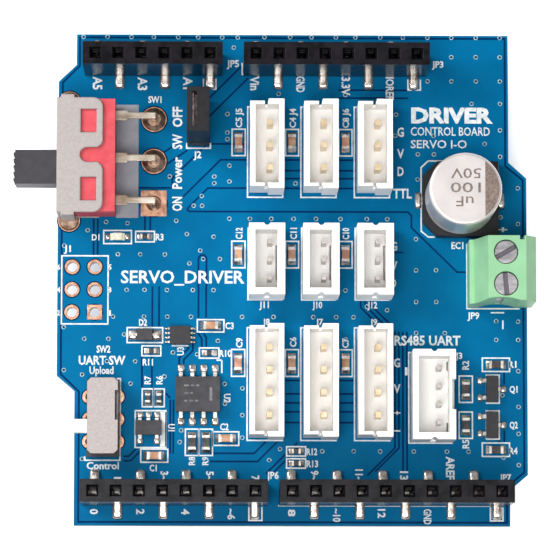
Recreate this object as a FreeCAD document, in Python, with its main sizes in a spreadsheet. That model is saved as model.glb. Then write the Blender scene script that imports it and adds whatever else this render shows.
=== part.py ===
"""Stackable driver board for serial servos, in millimetres.

The board stands on the tips of its long underside pins, which is height zero. Plan positions
are counted from the middle of the board and heights from its top face, the deck.
"""
import FreeCAD, Part
import Sketcher
import math
import os
import re

DIMENSIONS = {
    # board and stacking headers
    "pitch": 2.54,
    "board_x": 52.5,
    "board_y": 55.2,
    "board_thick": 1.6,
    "board_inset": 2.0,
    "row_y": 24.13,
    "strip_width": 2.5,
    "strip_height": 2.54,
    "pin_reach": 6.0,
    "pin_side": 0.64,
    "pin_foot": 2.6,
    "socket_height": 8.5,
    "socket_hole": 0.9,
    "contact_sheet": 0.15,
    "lead_width": 0.64,
    "lead_thick": 0.25,
    "lead_reach": 2.57,
    # where the middle of the board and its top face lie in the part's own frame
    "mid_x": 2.005,
    "deck": 10.14,
    # latching wire headers
    "column_x": -2.75,
    "column_step": 6.0,
    "wide_pitch": 2.5,
    "wide_width": 3.8,
    "small_pitch": 2.0,
    "small_width": 4.0,
    "serial_width": 4.7,
    "header_height": 6.0,
    "header_wall": 0.6,
    "header_floor": 1.8,
    "header_tail": 3.1,
    "pin_offset": 0.3,
    # screw terminal
    "terminal_x": 23.285,
    "terminal_y": 0.4,
    "terminal_depth": 7.17,
    "terminal_length": 7.14,
    "terminal_height": 8.5,
    "terminal_pitch": 3.5,
    "screw_x": 23.45,
    "screw_radius": 1.25,
    "screw_hole": 1.35,
    # power switch
    "power_y": 13.16,
    "power_length": 12.8,
    "power_front": -26.05,
    "power_height": 5.7,
    "sheet_steel": 0.35,
    "power_travel": 2.5,
    "lever_tip": -30.7,
    "lever_width": 3.8,
    "lug_thick": 0.35,
    # mode switch
    "mode_x": -20.87,
    "mode_y": -15.7,
    "mode_width": 3.64,
    "mode_cover_inset": 0.12,
    "mode_length": 8.6,
    "mode_height": 3.6,
    "mode_sheet": 0.25,
    "mode_travel": 2.0,
    # jumper
    "jumper_x": -10.4,
    "jumper_y": 17.5,
    "cap_height": 8.44,
    "cap_width": 2.48,
    "cap_length": 4.9,
    # capacitor
    "can_x": 18.9,
    "can_y": 8.85,
    "can_radius": 4.0,
    "can_height": 10.5,
    "can_base": 8.4,
    # programming pads
    "pad_hole": 0.575,
    "barrel_wall": 0.075,
    "pad_foil": 0.05,
}

# plan positions on the board, from its middle
SOCKETS = {
    "analog": (-21.79, 1, 6),
    "power": (-4.01, 1, 8),
    "digital_low": (-21.79, -1, 8),
    "digital_high": (0.05, -1, 10),
}
HEADER_ROWS = {
    "three_way": 14.45,
    "small": 1.62,
    "four_way": -11.8,
}
SERIAL_HEADER = (15.7, -13.33)
PROGRAMMING_PADS = [(x, y) for x in (-24.46, -21.92) for y in (1.27, -1.27, -3.81)]
POWER_PADS = [(-15.38, 17.95), (-15.38, 13.2), (-15.38, 8.45)]
LUG_PADS = [(-24.85, 19.87), (-24.85, 6.45)]
MODE_PADS = [(x, y) for x in (-22.42, -19.35) for y in (-13.28, -15.78, -18.28)]
CHIP_CAPACITORS = [(-15.2, -19.85, 0), (-7.25, -17.9, 0), (-8.95, -5.3, 0)]
CHIP_CAPACITORS += [(x, y, 90) for x in (-5.9, 0.1, 6.1) for y in (15.4, 2.7, -9.5)]
LARGE_RESISTORS = [(22.9, -9.6, 0), (22.85, -19.1, 0), (19.5, -12.35, 90), (19.5, -16.35, 90)]
LARGE_RESISTORS += [(-11.0, -18.35, 90), (-9.45, -18.35, 90)]
SMALL_RESISTORS = [(-9.1, -8.35, 0), (-15.55, -8.15, 0), (-16.35, 4.7, 0), (0.6, -19.3, 0)]
SMALL_RESISTORS += [(0.6, -20.65, 0), (-14.7, -13.4, 90), (-15.95, -13.4, 90)]
LED = (-19.4, 4.65)
DIODE = (-16.3, -6.35)
LINE_DRIVER = (-10.35, -13.05)
GATE_CHIP = (-12.35, -6.4)
REGULATOR = (-15.85, -16.75)
TRANSISTORS = [(22.4, -12.35), (22.4, -16.35)]

doc = FreeCAD.newDocument("servo_driver_board")
sheet = doc.addObject("Spreadsheet::Sheet", "Dimensions")
for row, (alias, value) in enumerate(DIMENSIONS.items(), start=1):
    sheet.set(f"A{row}", alias)
    sheet.set(f"B{row}", str(value))
    sheet.setAlias(f"B{row}", alias)
doc.recompute()

sub_parts = []


def formula(text):
    """Point every dimension named in a formula at its cell of the sheet."""
    return re.sub(
        r"[a-z_]+",
        lambda word: f"Dimensions.{word.group()}" if word.group() in DIMENSIONS else word.group(),
        str(text),
    )


def bind(feature, **sizes):
    """Tie each named size of a feature to a formula."""
    for name, text in sizes.items():
        feature.setExpression(name, formula(text))


def place(feature, x, y, z):
    """Put a feature's corner or centre at a plan position and a height above the deck."""
    feature.setExpression("Placement.Base.x", formula(f"mid_x + ({x})"))
    feature.setExpression("Placement.Base.y", formula(f"{y}"))
    feature.setExpression("Placement.Base.z", formula(f"deck + ({z})"))


def block(x, y, low, wide, deep, tall):
    """Rectangular block, centred on x and y, standing on the height low."""
    feature = doc.addObject("Part::Box", "Block")
    bind(feature, Length=wide, Width=deep, Height=tall)
    place(feature, f"({x}) - ({wide}) / 2", f"({y}) - ({deep}) / 2", low)
    return feature


def slab(x_range, y_range, z_range):
    """Rectangular block between three pairs of limits."""
    lows = [pair[0] for pair in (x_range, y_range, z_range)]
    spans = [f"({pair[1]}) - ({pair[0]})" for pair in (x_range, y_range, z_range)]
    feature = doc.addObject("Part::Box", "Block")
    bind(feature, Length=spans[0], Width=spans[1], Height=spans[2])
    place(feature, *lows)
    return feature


def post(x, y, low, radius, tall):
    """Upright cylinder."""
    feature = doc.addObject("Part::Cylinder", "Post")
    bind(feature, Radius=radius, Height=tall)
    place(feature, x, y, low)
    return feature


def cone(x, y, low, radius_low, radius_high, tall):
    """Upright cone frustum."""
    feature = doc.addObject("Part::Cone", "Cone")
    bind(feature, Radius1=radius_low, Radius2=radius_high, Height=tall)
    place(feature, x, y, low)
    return feature


def funnel(x, y, low, side_low, side_high, tall):
    """Square pyramid frustum, for the lead-in of a socket."""
    feature = doc.addObject("Part::Wedge", "Funnel")
    bind(
        feature,
        Xmin=f"-({side_low}) / 2", Xmax=f"({side_low}) / 2",
        Zmin=f"-({side_low}) / 2", Zmax=f"({side_low}) / 2",
        X2min=f"-({side_high}) / 2", X2max=f"({side_high}) / 2",
        Z2min=f"-({side_high}) / 2", Z2max=f"({side_high}) / 2",
        Ymin="0", Ymax=tall,
    )
    feature.Placement.Rotation = FreeCAD.Rotation(FreeCAD.Vector(1, 0, 0), 90)
    place(feature, x, y, low)
    return feature


def group(features):
    """Several solids that stay separate."""
    feature = doc.addObject("Part::Compound", "Group")
    feature.Links = features
    return feature


def fuse(features):
    """Several overlapping or touching solids joined into one."""
    feature = doc.addObject("Part::MultiFuse", "Fuse")
    feature.Shapes = features
    feature.Refine = True
    return feature


def cut(base, tools):
    """A solid with other shapes taken away."""
    feature = doc.addObject("Part::Cut", "Cut")
    feature.Base = base
    feature.Tool = tools[0] if len(tools) == 1 else group(tools)
    feature.Refine = True
    return feature


def publish(feature, name):
    """Name a feature as one of the board's sub-parts."""
    feature.Label = name
    sub_parts.append(feature)
    return feature


def new_body(name, x, y, z):
    """PartDesign body whose origin lies at a plan position and a height above the deck."""
    body = doc.addObject("PartDesign::Body", "Body")
    place(body, x, y, z)
    publish(body, name)
    return body


def new_sketch(body, plane, offset="0"):
    """Empty sketch on one of a body's own origin planes, moved along that plane's normal."""
    sketch = body.newObject("Sketcher::SketchObject", "Sketch")
    origin_plane = next(item for item in body.Origin.OriginFeatures if item.Role == plane)
    sketch.AttachmentSupport = [(origin_plane, "")]
    sketch.MapMode = "FlatFace"
    bind(sketch, **{"AttachmentOffset.Base.z": offset})
    return sketch


def hold_point(sketch, line, point, spot, x, y):
    """Hold one point of a sketch line at two distances from the sketch's origin."""
    for kind, text, value in (("DistanceX", x, spot.x), ("DistanceY", y, spot.y)):
        number = sketch.addConstraint(Sketcher.Constraint(kind, -1, 1, line, point, value))
        sketch.setExpression(f"Constraints[{number}]", formula(text))


def add_outline(sketch, corners):
    """Closed outline whose corners are each held by two formulas; the solver moves them there."""
    first = sketch.GeometryCount
    count = len(corners)
    turns = [2 * math.pi * index / count for index in range(count)]
    spots = [FreeCAD.Vector(math.cos(turn), math.sin(turn), 0) for turn in turns]
    for index, spot in enumerate(spots):
        sketch.addGeometry(Part.LineSegment(spot, spots[(index + 1) % count]), False)
    for index, (x, y) in enumerate(corners):
        following = first + (index + 1) % count
        sketch.addConstraint(Sketcher.Constraint("Coincident", first + index, 2, following, 1))
        hold_point(sketch, first + index, 1, spots[index], x, y)


def add_rectangle(sketch, x_range, y_range):
    """Rectangle between two pairs of limits."""
    (left, right), (low, high) = x_range, y_range
    add_outline(sketch, [(left, low), (right, low), (right, high), (left, high)])


def add_circle(sketch, x, y, radius):
    """Circle held by its centre and its radius."""
    centre = FreeCAD.Vector(1, 1, 0)
    line = sketch.addGeometry(Part.Circle(centre, FreeCAD.Vector(0, 0, 1), 1), False)
    hold_point(sketch, line, 3, centre, x, y)
    number = sketch.addConstraint(Sketcher.Constraint("Radius", line, 1))
    sketch.setExpression(f"Constraints[{number}]", formula(radius))


def add_feature(body, kind, sketch, length, backwards=False, both_ways=False):
    """Pad or pocket of a sketch; a pad runs along the sketch's normal, a pocket against it."""
    feature = body.newObject(f"PartDesign::{kind}", kind)
    feature.Profile = sketch
    feature.Reversed = backwards
    feature.Midplane = both_ways
    bind(feature, Length=length)
    return feature


def pin_row(name):
    """Plan positions of one stacking row's pins, each with the side its solder foot points to."""
    start, side, count = SOCKETS[name]
    return [
        (f"{start} + {index} * pitch", f"{side} * row_y", -1 if index % 2 else 1)
        for index in range(count)
    ]


def header_centres(kind):
    """Plan positions of the three wire headers of one row."""
    return [(f"column_x + {index} * column_step", HEADER_ROWS[kind]) for index in range(3)]


def header_pin_places(x, y, count, spacing, offset):
    """Plan positions of the pins of one wire header."""
    return [
        (f"({x}) + {offset}", f"({y}) + ({index} - {(count - 1) / 2}) * {spacing}")
        for index in range(count)
    ]


WIDE_PINS = [
    spot
    for kind, count in (("three_way", 3), ("four_way", 4))
    for x, y in header_centres(kind)
    for spot in header_pin_places(x, y, count, "wide_pitch", "pin_offset")
]
SMALL_PINS = [
    spot
    for x, y in header_centres("small")
    for spot in header_pin_places(x, y, 3, "small_pitch", "pin_offset")
]
SERIAL_PINS = header_pin_places(*SERIAL_HEADER, 4, "small_pitch", "pin_offset * 2")
JUMPER_PINS = [("jumper_x", f"jumper_y + {side} * pitch / 2") for side in (-1, 1)]
TERMINAL_PINS = [("screw_x - 1.95", f"terminal_y + {side} * terminal_pitch / 2") for side in (1, -1)]


def make_circuit_board():
    """Board with narrowed ends, its two step chamfers per side, and a hole for every pin."""
    left, right, top = "-board_x / 2 + 0.15", "board_x / 2 + 0.15", "board_y / 2"
    body = new_body("circuit_board", "0", "0", "-board_thick")
    outline = new_sketch(body, "XY_Plane")
    add_outline(outline, [
        (f"{left} + board_inset", f"-{top}"),
        (f"{right} - board_inset", f"-{top}"),
        (f"{right} - board_inset", "-23.6"),
        (right, "-21.9"),
        (right, "11.4"),
        (f"{right} - board_inset", "13.2"),
        (f"{right} - board_inset", top),
        (f"{left} + board_inset", top),
        (f"{left} + board_inset", "24.1"),
        (left, "22.2"),
        (left, "-10.9"),
        (f"{left} + board_inset", "-12.6"),
    ])
    add_feature(body, "Pad", outline, "board_thick")
    holes = new_sketch(body, "XY_Plane", "board_thick")
    drill_list = [(WIDE_PINS, "0.5"), (SMALL_PINS, "0.42"), (SERIAL_PINS, "0.42")]
    drill_list += [(JUMPER_PINS, "0.5"), (TERMINAL_PINS, "0.65")]
    drill_list += [(spots, f"{hole} + barrel_wall") for spots, hole, foil in PLATED_HOLES]
    for spots, radius in drill_list:
        for x, y in spots:
            add_circle(holes, x, y, radius)
    pocket = add_feature(body, "Pocket", holes, "board_thick")
    body.Tip = pocket


PLATED_HOLES = [
    (PROGRAMMING_PADS, "pad_hole", "0.825"),
    (POWER_PADS, "0.85", "1.42"),
    (LUG_PADS, "0.85", "1.22"),
    (MODE_PADS, "0.45", "0.8"),
]
SQUARE_PADS = [(PROGRAMMING_PADS[5], "1.65"), (POWER_PADS[2], "2.9")]


def make_plated_holes():
    """Copper barrels through the board, each with a thin ring or square on both faces."""
    barrels = []
    for spots, hole, ring in PLATED_HOLES:
        for x, y in spots:
            square = [side for spot, side in SQUARE_PADS if spot == (x, y)]
            foils = []
            for low in ("0", "-board_thick - pad_foil"):
                if square:
                    foils.append(block(x, y, low, square[0], square[0], "pad_foil"))
                else:
                    foils.append(post(x, y, low, ring, "pad_foil"))
            tube = post(x, y, "-board_thick", f"{hole} + barrel_wall", "board_thick")
            bore = post(x, y, "-board_thick - 1", hole, "board_thick + 2")
            barrels.append(cut(fuse([tube] + foils), [bore]))
    publish(group(barrels), "plated_holes")


def make_sockets():
    """Stacking sockets with funnel mouths, and the sheet contacts with their solder feet."""
    contacts = []
    for name in SOCKETS:
        pins = pin_row(name)
        count = len(pins)
        middle = f"({pins[0][0]} + {pins[-1][0]}) / 2"
        row = pins[0][1]
        housing = block(middle, row, "0", f"{count} * pitch + 0.2", "strip_width", "socket_height")
        openings = []
        for x, y, side in pins:
            outward = f"({y}) + {side} * strip_width / 4"
            well = block(x, y, "-0.1", "socket_hole", "socket_hole", "socket_height + 0.2")
            mouth = funnel(x, y, "socket_height - 0.45", "socket_hole", "1.3", "0.46")
            channel = block(
                x, outward, "-0.1",
                "lead_width + 0.1", "strip_width / 2 + 0.1", "lead_thick + 0.2",
            )
            openings += [well, mouth, channel]
            contacts.append(socket_contact(x, y, side))
        publish(cut(housing, openings), f"{name}_socket")
    publish(group(contacts), "socket_contacts")


def socket_contact(x, y, side):
    """Forked contact: two leaves on a base, a leg below and a foot out to one side."""
    leaves = [
        block(x, f"({y}) + {way} * 0.33", "1.2", "lead_width", "contact_sheet", "5.8")
        for way in (-1, 1)
    ]
    base = block(x, y, "1.05", "lead_width", "0.66 + contact_sheet", "contact_sheet")
    leg = block(x, y, "0.04", "lead_width", "contact_sheet", "1.05")
    outward = f"({y}) + {side} * lead_reach / 2"
    foot = block(x, outward, "0.04", "lead_width", "lead_reach", "lead_thick")
    return fuse(leaves + [base, leg, foot])


def make_pin_strips():
    """Underside strips: each pin goes straight down and is bent to a foot under the board."""
    all_pins = []
    for name in SOCKETS:
        row_pins = []
        for x, y, side in pin_row(name):
            shaft = block(x, y, "-deck", "pin_side", "pin_side", "strip_height + pin_reach")
            foot = block(
                x, f"({y}) + {side} * (pin_foot - pin_side / 2) / 2", "-board_thick - pin_side",
                "pin_side", "pin_foot + pin_side / 2", "pin_side",
            )
            row_pins.append(fuse([shaft, foot]))
        pins = pin_row(name)
        middle = f"({pins[0][0]} + {pins[-1][0]}) / 2"
        carrier = block(
            middle, pins[0][1], "-board_thick - strip_height",
            f"{len(pins)} * pitch", "strip_width", "strip_height",
        )
        publish(cut(carrier, row_pins), f"{name}_pin_strip")
        all_pins += row_pins
    publish(group(all_pins), "strip_pins")


def make_wide_header(name, x, y, count):
    """White header of 2.5 pitch: tall walls, a stepped and slotted wall at each end."""
    length = f"({count} - 1) * wide_pitch + 5"
    shell = block(x, y, "0", "wide_width", length, "header_height")
    cavity = block(
        x, y, "header_floor",
        "wide_width - 2 * header_wall", f"({length}) - 2 * header_wall", "header_height",
    )
    tools = [cavity]
    for side in (-1, 1):
        end = f"({y}) + {side} * (({length}) / 2)"
        step = block(
            f"({x}) - 0.95", f"{end} - {side} * 0.1", "-0.1",
            "2.2", "0.3", "header_height + 0.2",
        )
        notch = block(f"({x}) - 0.1", f"{end} - {side} * 0.5", "3.2", "0.35", "1.2", "header_height")
        tools += [step, notch]
    for spot in header_pin_places(x, y, count, "wide_pitch", "pin_offset"):
        tools.append(header_pin_shape(spot, "pin_side"))
    publish(cut(shell, tools), name)


def make_shrouded_header(name, x, y, count, width, offset):
    """White header of 2.0 pitch: a box with polarising slots beside one long wall."""
    length = f"(({count} - 1) * small_pitch + 3.95)"
    shell = block(x, y, "0", width, length, "header_height")
    wall = f"({x}) + ({width}) / 2"
    far_wall, near_wall = ("0.7", "0.85") if count == 3 else ("0.6", "0.65")
    inner = slab(
        (f"{wall} - {width} + {far_wall}", f"{wall} - {near_wall}"),
        (f"{y} - {length} / 2 + 0.75", f"{y} + {length} / 2 - 0.75"),
        ("header_floor", "header_height + 1"),
    )
    tools = [inner]
    if count == 3:
        tools.append(block(f"{wall} - 0.93", y, "0.4", "0.16", "3.9", "header_height"))
    else:
        tools.append(block(f"{wall} - 0.1", y, "header_floor + 1", "0.65", "3.4", "header_height"))
        for way in (-1, 1):
            slot_y = f"{y} + {way} * 3.4"
            tools.append(block(f"{wall} - 0.73", slot_y, "0.4", "0.16", "1", "header_height"))
    for side in (-1, 1):
        end = f"({y}) + {side} * (({length}) / 2 + 0.1)"
        tools.append(post(x, end, "header_floor", "0.35", "header_height"))
    for spot in header_pin_places(x, y, count, "small_pitch", offset):
        tools.append(header_pin_shape(spot, "0.5"))
    publish(cut(shell, tools), name)


def header_pin_shape(spot, side):
    """Straight square post through the floor of a header and the board."""
    tail = "header_tail"
    return block(*spot, f"-({tail})", side, side, f"header_height - 0.9 + {tail}")


def make_wire_headers():
    """Three rows of servo headers and the serial header, with their posts."""
    for index, (x, y) in enumerate(header_centres("three_way"), start=1):
        make_wide_header(f"three_way_header_{index}", x, y, 3)
    for index, (x, y) in enumerate(header_centres("small"), start=1):
        make_shrouded_header(f"small_header_{index}", x, y, 3, "small_width", "pin_offset")
    for index, (x, y) in enumerate(header_centres("four_way"), start=1):
        make_wide_header(f"four_way_header_{index}", x, y, 4)
    make_shrouded_header("serial_header", *SERIAL_HEADER, 4, "serial_width", "pin_offset * 2")
    three_way, four_way = WIDE_PINS[:9], WIDE_PINS[9:]
    publish(group([header_pin_shape(spot, "pin_side") for spot in three_way]), "three_way_pins")
    publish(group([header_pin_shape(spot, "pin_side") for spot in four_way]), "four_way_pins")
    publish(group([header_pin_shape(spot, "0.5") for spot in SMALL_PINS]), "small_header_pins")
    publish(group([header_pin_shape(spot, "0.5") for spot in SERIAL_PINS]), "serial_header_pins")


def make_terminal_housing():
    """Green terminal block: sloped back, wire entries in front, a chamber for each clamp."""
    body = new_body("terminal_housing", "terminal_x", "terminal_y", "0")
    side = "terminal_depth / 2"
    profile = new_sketch(body, "XZ_Plane")
    add_outline(profile, [
        (f"-{side}", "0"),
        (side, "0"),
        (side, "terminal_height - 1.6"),
        (f"{side} - 1.2", "terminal_height"),
        (f"-{side} + 1.8", "terminal_height"),
        (f"-{side} + 0.5", "terminal_height - 4.2"),
        (f"-{side}", "terminal_height - 4.2"),
    ])
    add_feature(body, "Pad", profile, "terminal_length", both_ways=True)
    axis = "(screw_x - terminal_x)"
    stations = [f"{way} * terminal_pitch / 2" for way in (-1, 1)]
    mouths = new_sketch(body, "XY_Plane", "terminal_height")
    for y in stations:
        add_circle(mouths, axis, y, "screw_hole")
    add_feature(body, "Pocket", mouths, "1.5")
    necks = new_sketch(body, "XY_Plane", "terminal_height")
    for y in stations:
        add_circle(necks, axis, y, "1.05")
    add_feature(body, "Pocket", necks, "2.5")
    chambers = new_sketch(body, "XY_Plane", "0.75")
    for y in stations:
        add_rectangle(chambers, (f"{axis} - 2.4", f"{axis} + 1.55"), (f"{y} - 1.48", f"{y} + 1.48"))
    add_feature(body, "Pocket", chambers, "5.9", backwards=True)
    floors = new_sketch(body, "XY_Plane")
    for y in stations:
        add_rectangle(floors, (f"{axis} - 2.4", f"{axis} - 1.5"), (f"{y} - 0.5", f"{y} + 0.5"))
    add_feature(body, "Pocket", floors, "0.8", backwards=True)
    entries = new_sketch(body, "YZ_Plane", "terminal_depth / 2")
    for y in stations:
        add_circle(entries, y, "2.2", "1.25")
    add_feature(body, "Pocket", entries, "2.4")
    ends = new_sketch(body, "XY_Plane", "terminal_height")
    add_rectangle(ends, ("1.7", "2.2"), ("terminal_length / 2 - 0.45", "terminal_length / 2 + 0.1"))
    add_circle(ends, "-0.35", "-terminal_length / 2 - 6.25", "6.6")
    pocket = add_feature(body, "Pocket", ends, "terminal_height")
    body.Tip = pocket


def make_terminal_works():
    """The two clamp screws, the two rising clamps and the fixed contacts with their board pins."""
    slot_turns = (30, 95)
    contacts = []
    for index, (x, y) in enumerate(TERMINAL_PINS):
        head = post("screw_x", y, "terminal_height - 1.45", "screw_radius", "1.25")
        shank = post("screw_x", y, "3.5", "0.95", "terminal_height - 4.9")
        slot = block("screw_x", y, "terminal_height - 0.8", "3", "0.5", "1")
        turn_in_place(slot, "screw_x", y, slot_turns[index])
        publish(cut(fuse([head, shank]), [slot]), f"terminal_screw_{index + 1}")
        cage = block("screw_x", y, "0.85", "2.7", "2.8", "3.65")
        window = block("screw_x", y, "1.15", "3", "2.2", "2.5")
        thread = post("screw_x", y, "3.6", "1.0", "1.2")
        publish(cut(cage, [window, thread]), f"terminal_clamp_{index + 1}")
        bar = slab((f"{x} - 0.3", "screw_x + 1.45"), (f"{y} - 0.7", f"{y} + 0.7"), ("3.25", "3.45"))
        pin = block(x, y, "-header_tail", "0.6", "0.9", "header_tail + 3.45")
        contacts.append(fuse([bar, pin]))
    publish(group(contacts), "terminal_pins")


def turn_in_place(feature, x, y, degrees):
    """Turn a block about the upright line through a plan position."""
    spin = FreeCAD.Rotation(FreeCAD.Vector(0, 0, 1), degrees)
    feature.Placement.Rotation = spin
    cosine, sine = math.cos(math.radians(degrees)), math.sin(math.radians(degrees))
    half_x, half_y = f"{feature.Name}.Length / 2", f"{feature.Name}.Width / 2"
    feature.setExpression(
        "Placement.Base.x",
        formula(f"mid_x + ({x}) - ({half_x} * {cosine:.6f} - {half_y} * {sine:.6f}) / 1 mm"),
    )
    feature.setExpression(
        "Placement.Base.y",
        formula(f"({y}) - ({half_x} * {sine:.6f} + {half_y} * {cosine:.6f}) / 1 mm"),
    )


def make_power_switch():
    """Right-angle slide switch: folded steel frame on a red base, lever out over the edge."""
    make_power_frame()
    make_power_base_and_works()


def make_power_frame():
    """Steel sheet folded over the front, with windows, a flared notch and two board lugs."""
    body = new_body("power_switch_frame", "power_front", "power_y", "0")
    skin = "sheet_steel"
    fold = new_sketch(body, "XZ_Plane")
    add_outline(fold, [
        ("0", "0.2"),
        ("4.6", "0.2"),
        ("4.6", f"0.2 + {skin}"),
        (skin, f"0.2 + {skin}"),
        (skin, f"power_height - {skin}"),
        ("5.1", f"power_height - {skin}"),
        ("5.1", "power_height"),
        ("0", "power_height"),
    ])
    add_feature(body, "Pad", fold, "power_length", both_ways=True)
    openings = new_sketch(body, "XY_Plane", "power_height")
    for way in (-1, 1):
        add_rectangle(openings, ("2.65", "4.4"), (f"{way} * 3.8 - 1.3", f"{way} * 3.8 + 1.3"))
    add_outline(openings, [
        ("3.4", "-0.83"),
        ("4.55", "-0.83"),
        ("4.95", "-1.2"),
        ("5.3", "-2.0"),
        ("5.3", "2.0"),
        ("4.95", "1.2"),
        ("4.55", "0.83"),
        ("3.4", "0.83"),
    ])
    add_feature(body, "Pocket", openings, f"{skin} + 0.2")
    end = new_sketch(body, "XY_Plane", "power_height")
    add_circle(end, "3.4", "0", "0.83")
    add_feature(body, "Pocket", end, f"{skin} + 0.2")
    slot = new_sketch(body, "YZ_Plane")
    rest = "-power_travel / 2"
    reach = "(lever_width / 2 + 0.15)"
    add_rectangle(slot, (f"{rest} - {reach}", f"power_travel / 2 + {reach}"), ("0.85", "4.85"))
    add_feature(body, "Pocket", slot, f"{skin} + 0.2", backwards=True)
    for way, backwards in ((1, False), (-1, True)):
        lug = new_sketch(body, "XZ_Plane", f"{way} * power_length / 2")
        add_rectangle(lug, ("0.45", "1.95"), ("-header_tail + 0.5", "power_height"))
        add_feature(body, "Pad", lug, "lug_thick", backwards=backwards)
    folded = body.Tip
    doc.recompute()
    rounded = body.newObject("PartDesign::Fillet", "Fillet")
    rounded.Base = (folded, upright_edges(folded, 5.1))
    bind(rounded, Radius="1.1")
    body.Tip = rounded


def upright_edges(feature, x):
    """Names of the short upright edges of a feature's outermost corners at one x of its body."""
    names = []
    points = [vertex.Point for vertex in feature.Shape.Vertexes]
    deepest = max(point.y for point in points if abs(point.x - x) < 0.01)
    for number, edge in enumerate(feature.Shape.Edges, start=1):
        points = [vertex.Point for vertex in edge.Vertexes]
        misses = [max(abs(point.x - x), abs(abs(point.y) - deepest)) for point in points]
        on_corner = max(misses) < 0.01
        if on_corner and len(points) == 2 and abs(points[0].z - points[1].z) > 0.1:
            names.append(f"Edge{number}")
    return names


def make_power_base_and_works():
    """Red moulded base, its three through terminals, and the lever with its sliding bridge."""
    front = "power_front + sheet_steel + 0.05"
    rest_y = "power_y - power_travel / 2"
    strips = []
    for pad, (x, y) in zip((1, 0, -1), POWER_PADS):
        plate_y = f"power_y + {pad} * 4.79"
        plate = slab(("-21.9", "-21.6"), (f"{plate_y} - 0.95", f"{plate_y} + 0.95"), ("1.6", "4.2"))
        wide = slab(("-21.6", "-18.3"), (f"{y} - 0.55", f"{y} + 0.55"), ("2.6", "3.0"))
        narrow = slab(("-18.3", f"{x} + 0.2"), (f"{y} - 0.33", f"{y} + 0.33"), ("2.6", "3.0"))
        leg = slab(
            (f"{x} - 0.2", f"{x} + 0.2"), (f"{y} - 0.33", f"{y} + 0.33"),
            ("-header_tail + 0.5", "2.6"),
        )
        strips.append(fuse([plate, wide, narrow, leg]))
    terminals = publish(group(strips), "power_switch_terminals")
    ends = ("power_y - power_length / 2 + 0.1", "power_y + power_length / 2 - 0.1")
    shell = slab((front, "-19.6"), ends, ("0.6", "power_height - sheet_steel - 0.05"))
    chamber = slab((f"{front} - 0.1", "-21.6"), ("power_y - 5.85", "power_y + 5.85"), ("0.9", "4.8"))
    publish(cut(cut(shell, [chamber]), [terminals]), "power_switch_base")
    lever = slab(
        ("lever_tip", "-25.3"),
        (f"{rest_y} - lever_width / 2", f"{rest_y} + lever_width / 2"),
        ("1.0", "4.7"),
    )
    ribs = [
        block("lever_tip", f"{rest_y} + {step} * 0.72", "1.0", "0.36", "0.36", "3.7")
        for step in (-2, -1, 0, 1, 2)
    ]
    carriage = slab(("-25.45", "-22.4"), (f"{rest_y} - 2.9", f"{rest_y} + 2.9"), ("1.2", "4.6"))
    publish(fuse([lever, carriage] + ribs), "power_switch_lever")
    bridge = slab(("-22.4", "-22.1"), (f"{rest_y} - 2.9", f"{rest_y} + 2.9"), ("1.8", "4.0"))
    bumps = [post("-22.1", f"{rest_y} + {way} * 2.65", "2.0", "0.17", "1.8") for way in (-1, 1)]
    publish(fuse([bridge] + bumps), "power_switch_bridge")


def make_mode_switch():
    """Small slide switch: pressed cover on a black base, white lever towards the board edge."""
    left, right = "mode_x - mode_width / 2", "mode_x + mode_width / 2"
    low, high = "mode_y - mode_length / 2", "mode_y + mode_length / 2"
    rest_y = "(mode_y - mode_travel / 2)"
    cover_left, cover_right = f"{left} + mode_cover_inset", f"{right} - mode_cover_inset"
    make_mode_cover(cover_left, cover_right, f"{low} + 0.2", high, rest_y)
    make_mode_base_and_works(left, right, low, high, rest_y)


def make_mode_cover(left, right, low, high, rest_y):
    """Pressed steel cover with cut corners, a gap in one side and the lever's slot in the other."""
    skin, top = "mode_sheet", "mode_height"
    plate = slab((left, right), (low, high), (f"{top} - {skin}", top))
    wall_ends = (f"{low} + 1", f"{high} - 1")
    wall_heights = ("0.9", f"{top} - {skin}")
    walls = [
        slab((left, f"{left} + {skin}"), wall_ends, wall_heights),
        slab((f"{right} - {skin}", right), wall_ends, wall_heights),
    ]
    corners = []
    for x in (left, right):
        for y in (low, high):
            corner = block(x, y, f"{top} - 1", "0.6", "0.6", "2")
            turn_in_place(corner, x, y, 45)
            corners.append(corner)
    side_gap = slab(
        (f"{right} - 0.32", f"{right} + 0.1"), (f"{low} + 3.75", f"{high} - 1.4"),
        ("1.2", f"{top} + 0.1"),
    )
    slot_ends = (f"{rest_y} - 0.9", f"{rest_y} + mode_travel + 0.9")
    slot = slab((f"{left} - 0.1", f"{left} + {skin} + 0.1"), slot_ends, ("1.35", "2.95"))
    publish(cut(fuse([plate] + walls), corners + [side_gap, slot]), "mode_switch_cover")


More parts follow.
